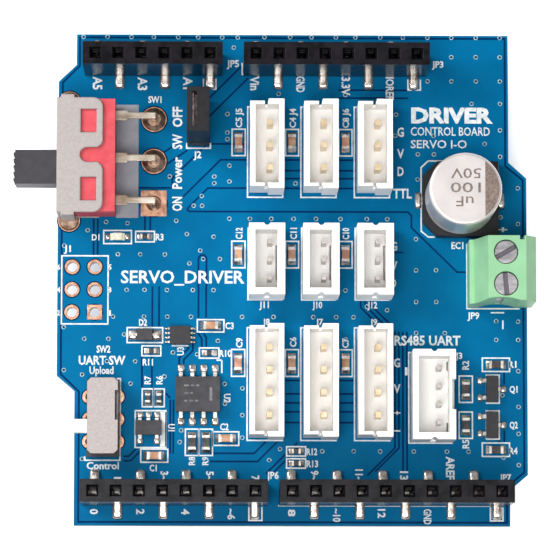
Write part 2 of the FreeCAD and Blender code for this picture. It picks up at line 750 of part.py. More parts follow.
def make_mode_base_and_works(left, right, low, high, rest_y):
    """Black base, its six pins with three contact plates, and the lever with its bridge."""
    tower_left = f"{left} + mode_cover_inset + mode_sheet + 0.02"
    tower_right = f"{right} - mode_cover_inset - mode_sheet - 0.04"
    pin_low = "-header_tail + 0.9"
    pins = []
    for x, y in MODE_PADS:
        across = (f"{y} - 0.2", f"{y} + 0.2")
        if x < -21:
            pins.append(slab((f"{x} - 0.12", f"{x} + 0.13"), across, (pin_low, "0.8")))
            continue
        stem = slab((f"{tower_right} - 0.24", tower_right), across, (pin_low, "2.1"))
        link = slab(("-20.3", f"{tower_right} - 0.24"), across, ("1.85", "2.1"))
        plate = slab(("-20.45", "-20.3"), (f"{y} - 0.7", f"{y} + 0.7"), ("1.45", "2.75"))
        pins.append(fuse([stem, link, plate]))
    terminals = publish(group(pins), "mode_switch_terminals")
    flange = slab((left, right), (low, high), ("0.3", "0.9"))
    tower = slab(
        (tower_left, tower_right), (f"{low} + 0.3", f"{high} - 0.1"),
        ("0.9", "mode_height - mode_sheet - 0.02"),
    )
    chamber_ends = (f"{rest_y} - 2.3", f"{rest_y} + mode_travel + 2.3")
    chamber = slab((f"{tower_left} - 0.1", "-20.3"), chamber_ends, ("1.2", "3.0"))
    publish(cut(cut(fuse([flange, tower]), [chamber]), [terminals]), "mode_switch_base")
    lever = slab(("-24.26", "-22.2"), (f"{rest_y} - 0.74", f"{rest_y} + 0.74"), ("1.5", "2.8"))
    carriage = slab(("-22.28", "-20.85"), (f"{rest_y} - 2.1", f"{rest_y} + 2.1"), ("1.3", "2.9"))
    publish(fuse([lever, carriage]), "mode_switch_lever")
    bridge = slab(("-20.85", "-20.65"), (f"{rest_y} - 2.1", f"{rest_y} + 2.1"), ("1.5", "2.7"))
    bumps = [post("-20.65", f"{rest_y} + {way} * 1.8", "1.6", "0.17", "1.0") for way in (-1, 1)]
    publish(fuse([bridge] + bumps), "mode_switch_bridge")


def make_jumper():
    """Two posts in a black carrier, and the tall lift-off cap with its sprung metal clip."""
    posts = [
        slab(
            (f"{x} - pin_side / 2", f"{x} + pin_side / 2"),
            (f"{y} - pin_side / 2", f"{y} + pin_side / 2"),
            ("-header_tail", "strip_height + pin_reach"),
        )
        for x, y in JUMPER_PINS
    ]
    pins = publish(group(posts), "jumper_pins")
    carrier = block("jumper_x", "jumper_y", "0", "strip_width", "2 * pitch", "strip_height")
    publish(cut(carrier, [pins]), "jumper_header")
    foot = "strip_height + 0.06"
    cap = block("jumper_x", "jumper_y", foot, "cap_width", "cap_length", "cap_height")
    pocket = block("jumper_x", "jumper_y", f"{foot} - 0.1", "1.3", "4.2", "6.75")
    slot = slab(
        ("jumper_x - 0.65", "jumper_x - 0.12"),
        ("jumper_y - 1.9", "jumper_y + 1.95"),
        (f"{foot} + 6", f"{foot} + cap_height + 0.1"),
    )
    publish(cut(cap, [pocket, slot]), "jumper_cap")
    spine = slab(
        ("jumper_x - 0.63", "jumper_x - 0.45"),
        ("jumper_y - 1.85", "jumper_y + 1.85"),
        (f"{foot} + 0.4", f"{foot} + cap_height - 0.25"),
    )
    leaf = slab(
        ("jumper_x + 0.38", "jumper_x + 0.56"),
        ("jumper_y - 1.85", "jumper_y + 1.85"),
        (f"{foot} + 0.4", f"{foot} + 6.55"),
    )
    bridge = slab(
        ("jumper_x - 0.45", "jumper_x + 0.38"),
        ("jumper_y - 1.85", "jumper_y + 1.85"),
        (f"{foot} + 6.37", f"{foot} + 6.55"),
    )
    publish(fuse([spine, leaf, bridge]), "jumper_clip")


def make_capacitor():
    """Aluminium can with a rolled shoulder and a waist groove, on a base with two cut corners."""
    body = new_body("capacitor_can", "can_x", "can_y", "0")
    section = new_sketch(body, "XZ_Plane")
    add_outline(section, [
        ("0", "1.1"),
        ("can_radius", "1.1"),
        ("can_radius", "2.5"),
        ("can_radius - 0.25", "2.75"),
        ("can_radius", "3.0"),
        ("can_radius", "can_height"),
        ("0", "can_height"),
    ])
    turned = body.newObject("PartDesign::Revolution", "Revolution")
    turned.Profile = section
    turned.ReferenceAxis = (section, ["V_Axis"])
    turned.Angle = 360
    doc.recompute()
    top_edges = [
        f"Edge{number}"
        for number, edge in enumerate(turned.Shape.Edges, start=1)
        if edge.BoundBox.ZLength < 0.01 and abs(edge.BoundBox.ZMax - DIMENSIONS["can_height"]) < 0.01
    ]
    shoulder = body.newObject("PartDesign::Fillet", "Fillet")
    shoulder.Base = (turned, top_edges)
    bind(shoulder, Radius="0.3")
    body.Tip = shoulder

    strips = [
        slab(
            (f"can_x + {way} * 3.2 - 1.75", f"can_x + {way} * 3.2 + 1.75"),
            ("can_y - 0.45", "can_y + 0.45"),
            ("0.03", "0.23"),
        )
        for way in (-1, 1)
    ]
    leads = publish(group(strips), "capacitor_leads")
    plinth = block("can_x", "can_y", "0.03", "can_base", "can_base", "2.1")
    seat = post("can_x", "can_y", "1.1", "can_radius", "2")
    corners = []
    for way in (-1, 1):
        x, y = "can_x - can_base / 2", f"can_y + {way} * can_base / 2"
        corner = block(x, y, "-0.1", "2.3", "2.3", "3")
        turn_in_place(corner, x, y, 45)
        corners.append(corner)
    publish(cut(plinth, [seat, leads] + corners), "capacitor_base")


def make_solder_joints():
    """Solder cones under the board round every through pin, and domes on the switch's top pads."""
    cones = []
    for spots in (WIDE_PINS, JUMPER_PINS):
        for x, y in spots:
            cones.append(solder_cone(x, y, "0.85", "0.5", "0.9", ("pin_side", "pin_side")))
    for x, y in SMALL_PINS + SERIAL_PINS:
        cones.append(solder_cone(x, y, "0.75", "0.4", "0.8", ("0.5", "0.5")))
    for x, y in TERMINAL_PINS:
        cones.append(solder_cone(x, y, "1.1", "0.65", "1.0", ("0.6", "0.9")))
    for x, y in POWER_PADS:
        cones.append(solder_cone(x, y, "1.3", "0.55", "0.8", ("0.4", "0.66")))
    for x, y in LUG_PADS:
        lug_side = 1 if y > DIMENSIONS["power_y"] else -1
        lug_y = f"power_y + {lug_side} * (power_length / 2 + lug_thick / 2)"
        lug = slab(
            ("power_front + 0.45", "power_front + 1.95"),
            (f"{lug_y} - lug_thick / 2", f"{lug_y} + lug_thick / 2"),
            ("-6", "6"),
        )
        under = cone(x, y, "-board_thick - pad_foil - 0.8", "0.95", "1.15", "0.8")
        over = cone(x, y, "pad_foil", "1.12", "0.95", "0.13")
        cones += [cut(under, [lug]), cut(over, [lug])]
    for x, y in POWER_PADS[:2]:
        dome = cone(x, y, "pad_foil", "1.3", "0.75", "0.35")
        leg = block(x, y, "-1", "0.4", "0.66", "3")
        cones.append(cut(dome, [leg]))
    inner_stem = "mode_x + mode_width / 2 - mode_cover_inset - mode_sheet - 0.16"
    for x, y in MODE_PADS:
        stem_x = f"{x} + 0.005" if x < -21 else inner_stem
        stem = block(stem_x, y, "-6", "0.25", "0.4", "8")
        under = cone(x, y, "-board_thick - pad_foil - 0.4", "0.45", "0.7", "0.4")
        cones.append(cut(under, [stem]))
    publish(group(cones), "solder_joints")


def solder_cone(x, y, radius_up, radius_down, tall, pin_size):
    """Solder fillet hanging under the board with its pin's section left out."""
    low = f"-board_thick - pad_foil - {tall}"
    fillet = cone(x, y, low, radius_down, radius_up, tall)
    pin = block(x, y, "-6", *pin_size, "8")
    return cut(fillet, [pin])


def make_chips():
    """Two-ended chip parts: a ceramic body each, with a metal cap at both ends."""
    resistors, capacitors, caps = [], [], []
    kinds = [
        (LARGE_RESISTORS, resistors, ("1.6", "0.8", "0.45"), "0.3"),
        (SMALL_RESISTORS, resistors, ("1.0", "0.5", "0.35"), "0.24"),
        (CHIP_CAPACITORS, capacitors, ("1.6", "0.8", "0.8"), "0.32"),
    ]
    for places, bodies, (length, width, tall), cap in kinds:
        for x, y, turn in places:
            ends = chip_ends(x, y, turn, length, cap)
            along = (f"{length} - 2 * {cap}", width) if turn == 0 else (width, f"{length} - 2 * {cap}")
            bodies.append(block(x, y, "0.07", *along, tall))
            for end_x, end_y in ends:
                size = (cap, f"{width} + 0.04") if turn == 0 else (f"{width} + 0.04", cap)
                caps.append(block(end_x, end_y, "0.05", *size, f"{tall} + 0.04"))
    led_base = block(*LED, "0.05", "1.6", "0.8", "0.25")
    led_lens = block(*LED, "0.3", "1.0", "0.8", "0.4")
    publish(fuse([led_base, led_lens]), "status_led")
    publish(group(resistors), "chip_resistors")
    publish(group(capacitors), "chip_capacitors")
    publish(group(caps), "chip_end_caps")


def chip_ends(x, y, turn, length, cap):
    """Plan positions of a chip's two end caps."""
    reach = f"({length} - {cap}) / 2"
    if turn == 0:
        return [(f"{x} - {reach}", y), (f"{x} + {reach}", y)]
    return [(x, f"{y} - {reach}"), (x, f"{y} + {reach}")]


def lead_profile(name, inner, riser, reach, thick, shoulder):
    """Side view of a gull-wing lead: shoulder at the body, riser, and foot on the board."""
    sketch = doc.addObject("Sketcher::SketchObject", name)
    add_outline(sketch, [
        (inner, shoulder),
        (riser, shoulder),
        (riser, "0"),
        (reach, "0"),
        (reach, thick),
        (f"{riser} + {thick}", thick),
        (f"{riser} + {thick}", f"{shoulder} + {thick}"),
        (inner, f"{shoulder} + {thick}"),
    ])
    return sketch


def lead(profile, width, x, y, degrees):
    """One gull-wing lead that points away from its chip in the given direction."""
    feature = doc.addObject("Part::Extrusion", "Lead")
    feature.Base = profile
    feature.DirMode = "Custom"
    feature.Dir = FreeCAD.Vector(0, 0, 1)
    feature.Symmetric = True
    feature.Solid = True
    bind(feature, LengthFwd=width)
    heading = FreeCAD.Rotation(FreeCAD.Vector(0, 0, 1), degrees)
    upright = FreeCAD.Rotation(FreeCAD.Vector(1, 0, 0), 90)
    feature.Placement.Rotation = heading.multiply(upright)
    place(feature, x, y, "0.05")
    return feature


def make_leaded_chips():
    """Moulded chips and their gull-wing leads."""
    leads = []
    x, y = LINE_DRIVER
    publish(block(x, y, "0.15", "4.9", "3.9", "1.4"), "line_driver_chip")
    profile = lead_profile("WideLead", "1.95", "2.2", "3.05", "0.2", "0.65")
    for index in range(4):
        for heading in (90, 270):
            leads.append(lead(profile, "0.42", f"{x} + ({index} - 1.5) * 1.27", y, heading))
    x, y = GATE_CHIP
    publish(block(x, y, "0.12", "2.3", "2.0", "0.75"), "gate_chip")
    profile = lead_profile("FineLead", "1.15", "1.25", "1.6", "0.12", "0.35")
    for index in range(4):
        for heading in (0, 180):
            leads.append(lead(profile, "0.22", x, f"{y} + ({index} - 1.5) * 0.5", heading))
    x, y = REGULATOR
    publish(block(x, y, "0.12", "2.9", "1.6", "1.05"), "regulator_chip")
    profile = lead_profile("ShortLead", "0.8", "0.95", "1.42", "0.15", "0.5")
    for offset, headings in ((-0.95, (90, 270)), (0, (90,)), (0.95, (90, 270))):
        for heading in headings:
            leads.append(lead(profile, "0.4", f"{x} + {offset}", y, heading))
    bodies = []
    profile = lead_profile("TransistorLead", "0.65", "0.8", "1.25", "0.15", "0.5")
    for x, y in TRANSISTORS:
        bodies.append(block(x, y, "0.12", "1.3", "2.9", "0.95"))
        for heading, offset in ((180, -0.95), (180, 0.95), (0, 0)):
            leads.append(lead(profile, "0.42", x, f"{y} + {offset}", heading))
    publish(group(bodies), "transistors")
    x, y = DIODE
    publish(block(x, y, "0.1", "1.7", "1.25", "0.85"), "clamp_diode")
    profile = lead_profile("DiodeLead", "0.85", "0.95", "1.3", "0.12", "0.4")
    for heading in (0, 180):
        leads.append(lead(profile, "0.32", x, y, heading))
    publish(group(leads), "chip_leads")


make_circuit_board()
make_plated_holes()
make_sockets()
make_pin_strips()
make_wire_headers()
make_terminal_housing()
make_terminal_works()
make_power_switch()
make_mode_switch()
make_jumper()
make_capacitor()
make_solder_joints()
make_chips()
make_leaded_chips()

doc.recompute()

failed = [item.Name for item in doc.Objects if {"Invalid", "Error"} & set(item.State)]
bad_shapes = [item.Label for item in sub_parts if item.Shape.isNull() or not item.Shape.isValid()]
if failed or bad_shapes:
    raise RuntimeError(f"not built: {failed} {bad_shapes}")

os.makedirs("parts", exist_ok=True)
for item in sub_parts:
    item.Shape.exportStep(os.path.join("parts", f"{item.Label}.step"))
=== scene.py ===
import math

import bpy
import numpy as np
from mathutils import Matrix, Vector


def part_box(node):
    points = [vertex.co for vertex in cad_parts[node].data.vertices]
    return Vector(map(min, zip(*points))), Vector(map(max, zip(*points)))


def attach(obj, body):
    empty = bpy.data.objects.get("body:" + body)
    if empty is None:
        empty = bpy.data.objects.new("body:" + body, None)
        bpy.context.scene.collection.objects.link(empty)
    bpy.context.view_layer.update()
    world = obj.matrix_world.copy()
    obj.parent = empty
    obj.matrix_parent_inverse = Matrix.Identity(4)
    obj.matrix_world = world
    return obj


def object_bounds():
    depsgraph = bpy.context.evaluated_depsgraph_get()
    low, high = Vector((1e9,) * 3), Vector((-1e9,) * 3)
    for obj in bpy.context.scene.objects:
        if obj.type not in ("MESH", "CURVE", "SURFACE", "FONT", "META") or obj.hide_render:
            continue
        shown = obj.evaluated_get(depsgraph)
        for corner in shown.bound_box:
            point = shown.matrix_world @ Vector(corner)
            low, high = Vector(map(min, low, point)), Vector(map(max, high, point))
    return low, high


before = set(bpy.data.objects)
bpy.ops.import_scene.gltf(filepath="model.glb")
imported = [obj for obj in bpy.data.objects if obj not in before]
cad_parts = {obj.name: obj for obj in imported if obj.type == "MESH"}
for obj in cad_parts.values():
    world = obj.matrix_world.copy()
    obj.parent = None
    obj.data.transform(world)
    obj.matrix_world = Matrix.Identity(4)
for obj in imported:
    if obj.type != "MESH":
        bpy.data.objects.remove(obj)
cad_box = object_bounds()

# Circuit board. Glass laminate with copper on both faces under a satin blue coating that is
# screened on and cured, so the copper below shows as a faint change of tone. The routed edge
# is bare laminate.
board_low, board_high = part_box("circuit_board")
deck = board_high.z
under = board_low.z
MIDDLE_TO_EDGE = 0.026405
board_middle = board_high.x - MIDDLE_TO_EDGE
MM = 0.001


def on_board(points):
    """Plan points in millimetres from the board's middle, as metres in the frame."""
    return np.asarray(points, float) * MM + [board_middle, 0.0]


def tone(red, green, blue):
    """Screen colour 0 to 255 as linear light: divided by 255 and raised to the power 2.2."""
    return (*((channel / 255) ** 2.2 for channel in (red, green, blue)), 1.0)


def drift(tree, grain, tones, stretch=(1, 1, 1)):
    """Noise of one grain in millimetres on object coordinates, ramped between two tones over
    the middle third of its range."""
    place = tree.nodes.new("ShaderNodeTexCoord")
    turn = tree.nodes.new("ShaderNodeMapping")
    turn.inputs["Scale"].default_value = stretch
    noise = tree.nodes.new("ShaderNodeTexNoise")
    noise.inputs["Scale"].default_value = 1000 / grain
    noise.inputs["Detail"].default_value = 5.0
    tree.links.new(place.outputs["Object"], turn.inputs["Vector"])
    tree.links.new(turn.outputs["Vector"], noise.inputs["Vector"])
    ramp = tree.nodes.new("ShaderNodeValToRGB")
    for stop, position, colour in zip(ramp.color_ramp.elements, (0.35, 0.65), tones):
        stop.position, stop.color = position, colour
    tree.links.new(noise.outputs["Fac"], ramp.inputs["Fac"])
    return ramp.outputs["Color"], noise.outputs["Fac"]


def finish(
    name, grain, tones, rough, bump=0.0, bump_grain=0.2, stretch=(1, 1, 1), soft=0.05, **sockets
):
    """Material whose colour and roughness drift with one noise, whose skin has a finer one, and
    whose edges catch the light as if broken by a small radius in millimetres. The other values
    go to the shader's sockets of the same names."""
    made = bpy.data.materials.new(name)
    made.use_nodes = True
    tree = made.node_tree
    shader = tree.nodes["Principled BSDF"]
    for socket, value in sockets.items():
        label = socket.replace("_", " ").title().replace("Ior", "IOR")
        shader.inputs[label].default_value = value
    colour, height = drift(tree, grain, tones, stretch)
    tree.links.new(colour, shader.inputs["Base Color"])
    polish = tree.nodes.new("ShaderNodeMapRange")
    polish.inputs["To Min"].default_value, polish.inputs["To Max"].default_value = rough
    tree.links.new(height, polish.inputs["Value"])
    tree.links.new(polish.outputs["Result"], shader.inputs["Roughness"])
    edge = tree.nodes.new("ShaderNodeBevel")
    edge.samples = 4
    edge.inputs["Radius"].default_value = soft * MM
    fine = drift(tree, bump_grain, tones, stretch)[1]
    relief = tree.nodes.new("ShaderNodeBump")
    relief.inputs["Distance"].default_value = bump * MM
    tree.links.new(fine, relief.inputs["Height"])
    tree.links.new(edge.outputs["Normal"], relief.inputs["Normal"])
    tree.links.new(relief.outputs["Normal"], shader.inputs["Normal"])
    return made


def fade_by_height(material, start, end, colour):
    """The colour blends to another one in proportion to the height between start and end."""
    tree = material.node_tree
    shader = tree.nodes["Principled BSDF"]
    place = tree.nodes.new("ShaderNodeTexCoord")
    split = tree.nodes.new("ShaderNodeSeparateXYZ")
    share = tree.nodes.new("ShaderNodeMapRange")
    share.inputs["From Min"].default_value = start
    share.inputs["From Max"].default_value = end
    blend = tree.nodes.new("ShaderNodeMix")
    blend.data_type = "RGBA"
    blend.inputs["B"].default_value = colour
    tree.links.new(place.outputs["Object"], split.inputs["Vector"])
    tree.links.new(split.outputs["Z"], share.inputs["Value"])
    tree.links.new(share.outputs["Result"], blend.inputs["Factor"])
    tree.links.new(shader.inputs["Base Color"].links[0].from_socket, blend.inputs["A"])
    tree.links.new(blend.outputs["Result"], shader.inputs["Base Color"])


def wear(material, *nodes):
    """These nodes take this material."""
    for node in nodes:
        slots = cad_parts[node].data.materials
        slots.clear()
        slots.append(material)


coating = finish(
    "blue_coating", 5.0, [tone(0, 97, 142), tone(0, 106, 152)], (0.34, 0.46),
    bump=0.004, bump_grain=0.5, specular_ior_level=0.03,
)
tree = coating.node_tree
surface = tree.nodes.new("ShaderNodeNewGeometry")
upright = tree.nodes.new("ShaderNodeSeparateXYZ")
flatness = tree.nodes.new("ShaderNodeMath")
flatness.operation = "ABSOLUTE"
shader = tree.nodes["Principled BSDF"]
skin = shader.inputs["Base Color"].links[0].from_socket
laminate, _ = drift(tree, 0.4, [tone(96, 110, 92), tone(150, 150, 120)], stretch=(1, 1, 6))
choose = tree.nodes.new("ShaderNodeMix")
choose.data_type = "RGBA"
tree.links.new(surface.outputs["True Normal"], upright.inputs["Vector"])
tree.links.new(upright.outputs["Z"], flatness.inputs[0])
tree.links.new(flatness.outputs["Value"], choose.inputs["Factor"])
tree.links.new(laminate, choose.inputs["A"])
tree.links.new(skin, choose.inputs["B"])
tree.links.new(choose.outputs["Result"], shader.inputs["Base Color"])
wear(coating, "circuit_board")

# Clearances. Where a track or a pad is cut out of the copper sheet the coating dips and looks
# darker, so every track shows as a pair of fine dark lines. They are etched, so all one width.
clearance_top = deck + 0.012 * MM
clearance_blue = finish(
    "clearance_blue", 2.0, [tone(0, 44, 88), tone(0, 54, 100)], (0.4, 0.5), bump=0.003,
    specular_ior_level=0.03,
)


def ribbon(path, width, low, high, closed=False):
    """Band along a plan path: each point goes to both sides along the mitre of its two runs."""
    path = np.asarray(path, float)
    if closed:
        before, after = np.roll(path, 1, 0), np.roll(path, -1, 0)
    else:
        before = np.vstack([2 * path[0] - path[1], path[:-1]])
        after = np.vstack([path[1:], 2 * path[-1] - path[-2]])
    come = (path - before) / np.linalg.norm(path - before, axis=1, keepdims=True)
    leave = (after - path) / np.linalg.norm(after - path, axis=1, keepdims=True)
    along = (come + leave) / np.linalg.norm(come + leave, axis=1, keepdims=True)
    mitre = np.sqrt((1 + np.sum(come * leave, axis=1, keepdims=True)) / 2)
    side = np.column_stack([-along[:, 1], along[:, 0]]) / mitre * width / 2
    count = len(path)
    points = np.empty((count, 4, 3))
    points[:, :2, :2] = (path + side)[:, None]
    points[:, 2:, :2] = (path - side)[:, None]
    points[:, (0, 3), 2] = low
    points[:, (1, 2), 2] = high
    ring = np.arange(count if closed else count - 1)[:, None] * 4
    corner = np.arange(4)[None]
    ahead = (ring + 4) % (count * 4)
    step = (corner + 1) % 4
    faces = np.stack([ring + corner, ring + step, ahead + step, ahead + corner], -1).reshape(-1, 4)
    if not closed:
        last = (count - 1) * 4
        faces = np.vstack([faces, [3, 2, 1, 0], [last, last + 1, last + 2, last + 3]])
    return points.reshape(-1, 3), faces.tolist()


def gather(shapes):
    """One mesh from many: the points run on and each face counts from its own shape's start."""
    points, faces, start = [], [], 0
    for shape_points, shape_faces in shapes:
        points.append(shape_points)
        faces += [[corner + start for corner in face] for face in shape_faces]
        start += len(shape_points)
    return np.vstack(points), faces


def put_in(name, shapes, material, body="board", smooth=False):
    """Gathered shapes become one piece at its own place, on a body."""
    points, faces = gather(shapes)
    mesh = bpy.data.meshes.new(name)
    mesh.from_pydata(points.tolist(), [], faces)
    mesh.polygons.foreach_set("use_smooth", np.full(len(faces), smooth))
    mesh.materials.append(material)
    piece = bpy.data.objects.new(name, mesh)
    bpy.context.scene.collection.objects.link(piece)
    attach(piece, body)
    return piece


def both_sides(path, width):
    """The two edges of a track: the path moved to either side by half its width."""
    path = np.asarray(path, float)
    wide = ribbon(path, width, 0, 0)[0].reshape(-1, 4, 3)
    return [wide[:, 0, :2], wide[:, 3, :2]]


TRACKS = [
    ([(-21.85, 6.7), (-21.85, 2.6)], 0.45),
    ([(-16.05, 7.2), (-16.05, 5.3)], 0.6),
    ([(-15.1, -0.9), (-15.1, -5.4)], 0.75),
    ([(-9.9, -0.9), (-9.9, -4.4)], 0.85),
    ([(-16.05, -8.8), (-16.05, -12.2)], 1.1),
    ([(-13.25, -13.6), (-13.25, -19.6)], 0.35),
    ([(-10.2, -5.9), (-9.7, -6.7), (-9.7, -7.8)], 0.5),
    ([(-11.2, -7.0), (-11.2, -8.0), (-12.2, -9.0), (-12.2, -9.6)], 0.5),
    ([(-18.6, -20.15), (-17.9, -20.15), (-16.7, -18.9)], 0.5),
    ([(-9.0, -20.0), (-3.9, -20.0), (-1.6, -17.7)], 0.9),
    ([(-2.6, -22.0), (0.9, -18.5)], 0.5),
    ([(23.5, -10.4), (23.5, -11.7)], 0.6),
    ([(23.5, -16.9), (23.5, -18.4)], 0.6),
]
EDGES = [
    [(-5.4, 24.2), (-9.2, 20.4)],
    [(-4.8, 22.7), (-9.2, 18.3)],
    [(-4.9, 15.2), (-9.4, 15.2), (-13.3, 11.3), (-13.3, 10.2), (-17.1, 10.2)],
    [(-11.6, 14.5), (-13.9, 12.9), (-14.4, 12.9)],
    [(-12.2, 15.6), (-14.3, 14.2)],
    [(-4.8, 13.4), (-7.9, 13.4), (-12.1, 9.2)],
    [(-4.8, 10.2), (-9.3, 10.2), (-11.6, 7.9), (-11.6, 7.7), (-11.4, 7.55), (13.1, 7.55),
     (13.5, 7.15), (13.5, 5.8), (18.6, 0.8), (19.8, 0.8)],
    [(-10.35, -0.9), (-10.35, 2.3), (-10.1, 2.65), (-9.7, 2.65), (-9.45, 2.3), (-9.45, -0.9)],
    [(-14.5, -12.6), (-13.9, -12.9), (-13.45, -13.4)],
    [(7.8, -2.3), (7.8, -3.2), (9.9, -5.3)],
    [(8.3, -2.3), (8.3, -3.0), (10.6, -5.3)],
    [(8.9, -2.3), (8.9, -2.9), (11.4, -5.4)],
    [(10.9, 3.0), (12.6, 3.0)],
]
for x, bend in ((11.6, 8.5), (12.05, 9.4)):
    EDGES.append([(x, -5.9), (x, -18.9), (bend, -18.9 - (x - bend))])
for x in (12.5, 12.95):
    EDGES.append([(x, -5.9), (x, -18.9), (x, -21.6)])
for height in (13.4, 12.2, 11.3, 10.2):
    EDGES += [[(-0.7, height), (1.3, height)], [(5.3, height), (7.3, height)]]
for height in (21.35, 20.45):
    EDGES.append([(5.3, height), (13.2, height)])
for height in (-11.4, -12.9, -13.9, -14.9, -16.1):
    EDGES += [[(-0.6, height), (1.3, height)], [(5.4, height), (7.2, height)]]
gap_width = 0.2 * MM
lines = [edge for path, width in TRACKS for edge in both_sides(path, width)] + EDGES
put_in(
    "track_clearances",
    [ribbon(on_board(path), gap_width, deck, clearance_top) for path in lines],
    clearance_blue,
)
OUTLINE = [
    (-23.75, 27.25), (24.05, 27.25), (24.05, 12.8), (26.0, 11.2), (26.0, -21.6),
    (24.05, -23.2), (24.05, -27.2), (-23.6, -27.2), (-23.6, -12.7), (-25.65, -10.75),
    (-25.65, 22.1), (-23.75, 24.0),
]
put_in(
    "edge_clearance",
    [ribbon(on_board(OUTLINE), 0.22 * MM, deck, clearance_top, closed=True)],
    clearance_blue,
)

# Stitching holes. Small plated holes join the copper of the two faces; the coating thins over
# their rims, which shine pale, and the drilled middle is a dark disc of painted shade for the
# hole. Drilled and then plated.
hole, rim = 0.13 * MM, 0.27 * MM
rim_tin = finish("thin_coating", 0.3, [tone(96, 158, 190), tone(196, 224, 232)], (0.25, 0.45))
hole_shade_dark = finish("hole_painted_shade", 0.3, [tone(4, 18, 34), tone(10, 34, 58)], (0.5, 0.7))


def rings(centres, hole, rim, foot, rise, sides=14, rows=5):
    """Rings turned round each centre: height follows half a sine from the hole to the rim."""
    arch = np.linspace(0, 1, rows)
    radius = np.append(hole + (rim - hole) * arch, (hole + rim) / 2)
    height = np.append(foot + rise * np.sin(np.pi * arch), foot)
    count = rows + 1
    turn = np.linspace(0, 2 * np.pi, sides, endpoint=False)[:, None]
    loop = np.stack(
        [radius * np.cos(turn), radius * np.sin(turn), np.broadcast_to(height, (sides, count))], -1
    )
    rank = np.arange(sides)[:, None] * count
    ahead = (rank + count) % (sides * count)
    spot = np.arange(count)[None]
    step = (spot + 1) % count
    corners = [rank + spot, rank + step, ahead + step, ahead + spot]
    if rise > 0:
        corners.reverse()
    faces = np.stack(corners, -1).reshape(-1, 4).tolist()
    return [(loop.reshape(-1, 3) + [x, y, 0], faces) for x, y in centres]


def coins(centres, radius, low, high, sides=12):
    """Short round posts: two rings of points and a face on each end."""
    turn = np.linspace(0, 2 * np.pi, sides, endpoint=False)
    ring = np.column_stack([radius * np.cos(turn), radius * np.sin(turn)])
    points = np.vstack([np.column_stack([ring, np.full(sides, z)]) for z in (low, high)])
    spot = np.arange(sides)
    ahead = (spot + 1) % sides
    faces = np.column_stack([spot, ahead, ahead + sides, spot + sides]).tolist()
    faces += [spot[::-1].tolist(), (spot + sides).tolist()]
    return [(points + [x, y, 0], faces) for x, y in centres]


STITCHES = [(x, 27.3) for x in (-23.35, -20.65, -17.95, -15.45, -12.7, -10.45, -7.75, -6.0)]
STITCHES += [(x, 27.35) for x in (-3.0, -0.1, 2.3, 5.05, 7.25, 10.05, 12.6, 15.35)]
STITCHES += [(x, 27.35) for x in (18.05, 20.8, 23.5)]
STITCHES += [(x, y) for y in (25.15, 22.4) for x in (18.05, 20.8, 23.5)]
STITCHES += [(23.5, y) for y in (19.85, 16.85, 13.85, 7.0)] + [(25.45, y) for y in (10.3, 6.25)]
STITCHES += [(x, 6.75) for x in (-6.9, -4.6, -2.2, 0.3, 2.8, 5.55, 8.5, 10.8)]
STITCHES += [(x, 2.7) for x in (-19.35, -16.85, -14.1)]
STITCHES += [(x, -1.3) for x in (-18.35, -16.35, -13.85, -10.95, -8.65, 6.1)]
STITCHES += [(x, -4.3) for x in (-19.85, -16.4, -13.8, -11.15, -5.45, -1.95, 2.5, 5.05, 7.0)]
STITCHES += [(x, y) for x in (14.0, 16.25) for y in (1.0, -2.55)] + [(14.0, 4.5)]
STITCHES += [(x, -19.3) for x in (3.5, 7.0, 9.95, 13.7, 17.4, 19.8)]
STITCHES += [(25.4, y) for y in (-4.75, -6.8, -10.3, -14.3, -17.3, -20.8)]
STITCHES += [(-5.4, y) for y in (-12.3, -15.3, -17.8)] + [(22.95, y) for y in (-4.7, -6.8)]
STITCHES += [
    (-6.45, 26.15), (-7.15, 18.6), (-7.15, 16.5), (-7.15, 15.75), (-6.9, 12.75), (-6.9, 10.95),
    (-8.6, 11.5), (-8.6, 10.75), (-10.0, 9.3), (-10.9, 8.2), (-9.95, 8.2), (-12.85, 6.5),
    (-13.6, 11.5), (-11.65, 5.0), (-8.65, 4.7), (-10.15, 3.15), (-9.8, 2.2), (-7.95, 2.2),
    (-11.35, 1.7), (-20.7, 6.35), (-18.3, 6.2), (-22.75, 5.4), (-25.35, 3.65), (-1.4, 20.9),
    (15.35, 22.4), (20.3, 19.85), (21.75, 15.3), (16.0, 16.2), (14.25, 14.1), (16.05, 14.1),
    (14.2, 11.25), (11.8, 18.6), (11.7, 16.2), (0.5, 10.75), (6.1, 20.8), (10.75, -3.5),
    (8.5, -3.1), (14.0, -6.05), (17.2, -6.05), (-25.35, -5.5), (-23.05, -6.8), (-20.35, -6.8),
    (-18.6, -6.3), (-13.15, -8.3), (-8.15, -7.0), (-10.45, -8.5), (-20.5, -9.3), (-17.35, -9.3),
    (-25.3, -10.3), (-23.25, -10.8), (-17.85, -11.8), (-14.1, -11.0), (-7.4, -11.8),
    (-7.35, -14.0), (-12.2, -17.0), (-12.35, -18.3), (-1.2, -19.05), (-2.4, -20.3),
    (-23.2, -20.2), (23.6, -13.0), (6.1, -6.8), (23.7, -19.95),
]
stitches = on_board(STITCHES)
put_in(
    "stitch_rims",
    rings(stitches, hole, rim, deck, 0.03 * MM) + rings(stitches, hole, rim, under, -0.03 * MM),
    rim_tin, smooth=True,
)
# Painted shade: dark discs on both faces stand for the shaded insides of the holes.
put_in(
    "stitch_wells",
    coins(stitches, 0.14 * MM, deck, deck + 0.008 * MM)
    + coins(stitches, 0.14 * MM, under - 0.008 * MM, under),
    hole_shade_dark,
)

# Printing on the board. Thick white ink screened over the coating: boxes round the parts,
# part numbers, pin names and two filled patches. It stands a hair above the coating.
print_ink = finish(
    "print_ink", 0.6, [tone(206, 214, 216), tone(240, 243, 242)], (0.5, 0.65), bump=0.006,
)
ink_top = deck + 0.02 * MM
line_width = 0.16 * MM


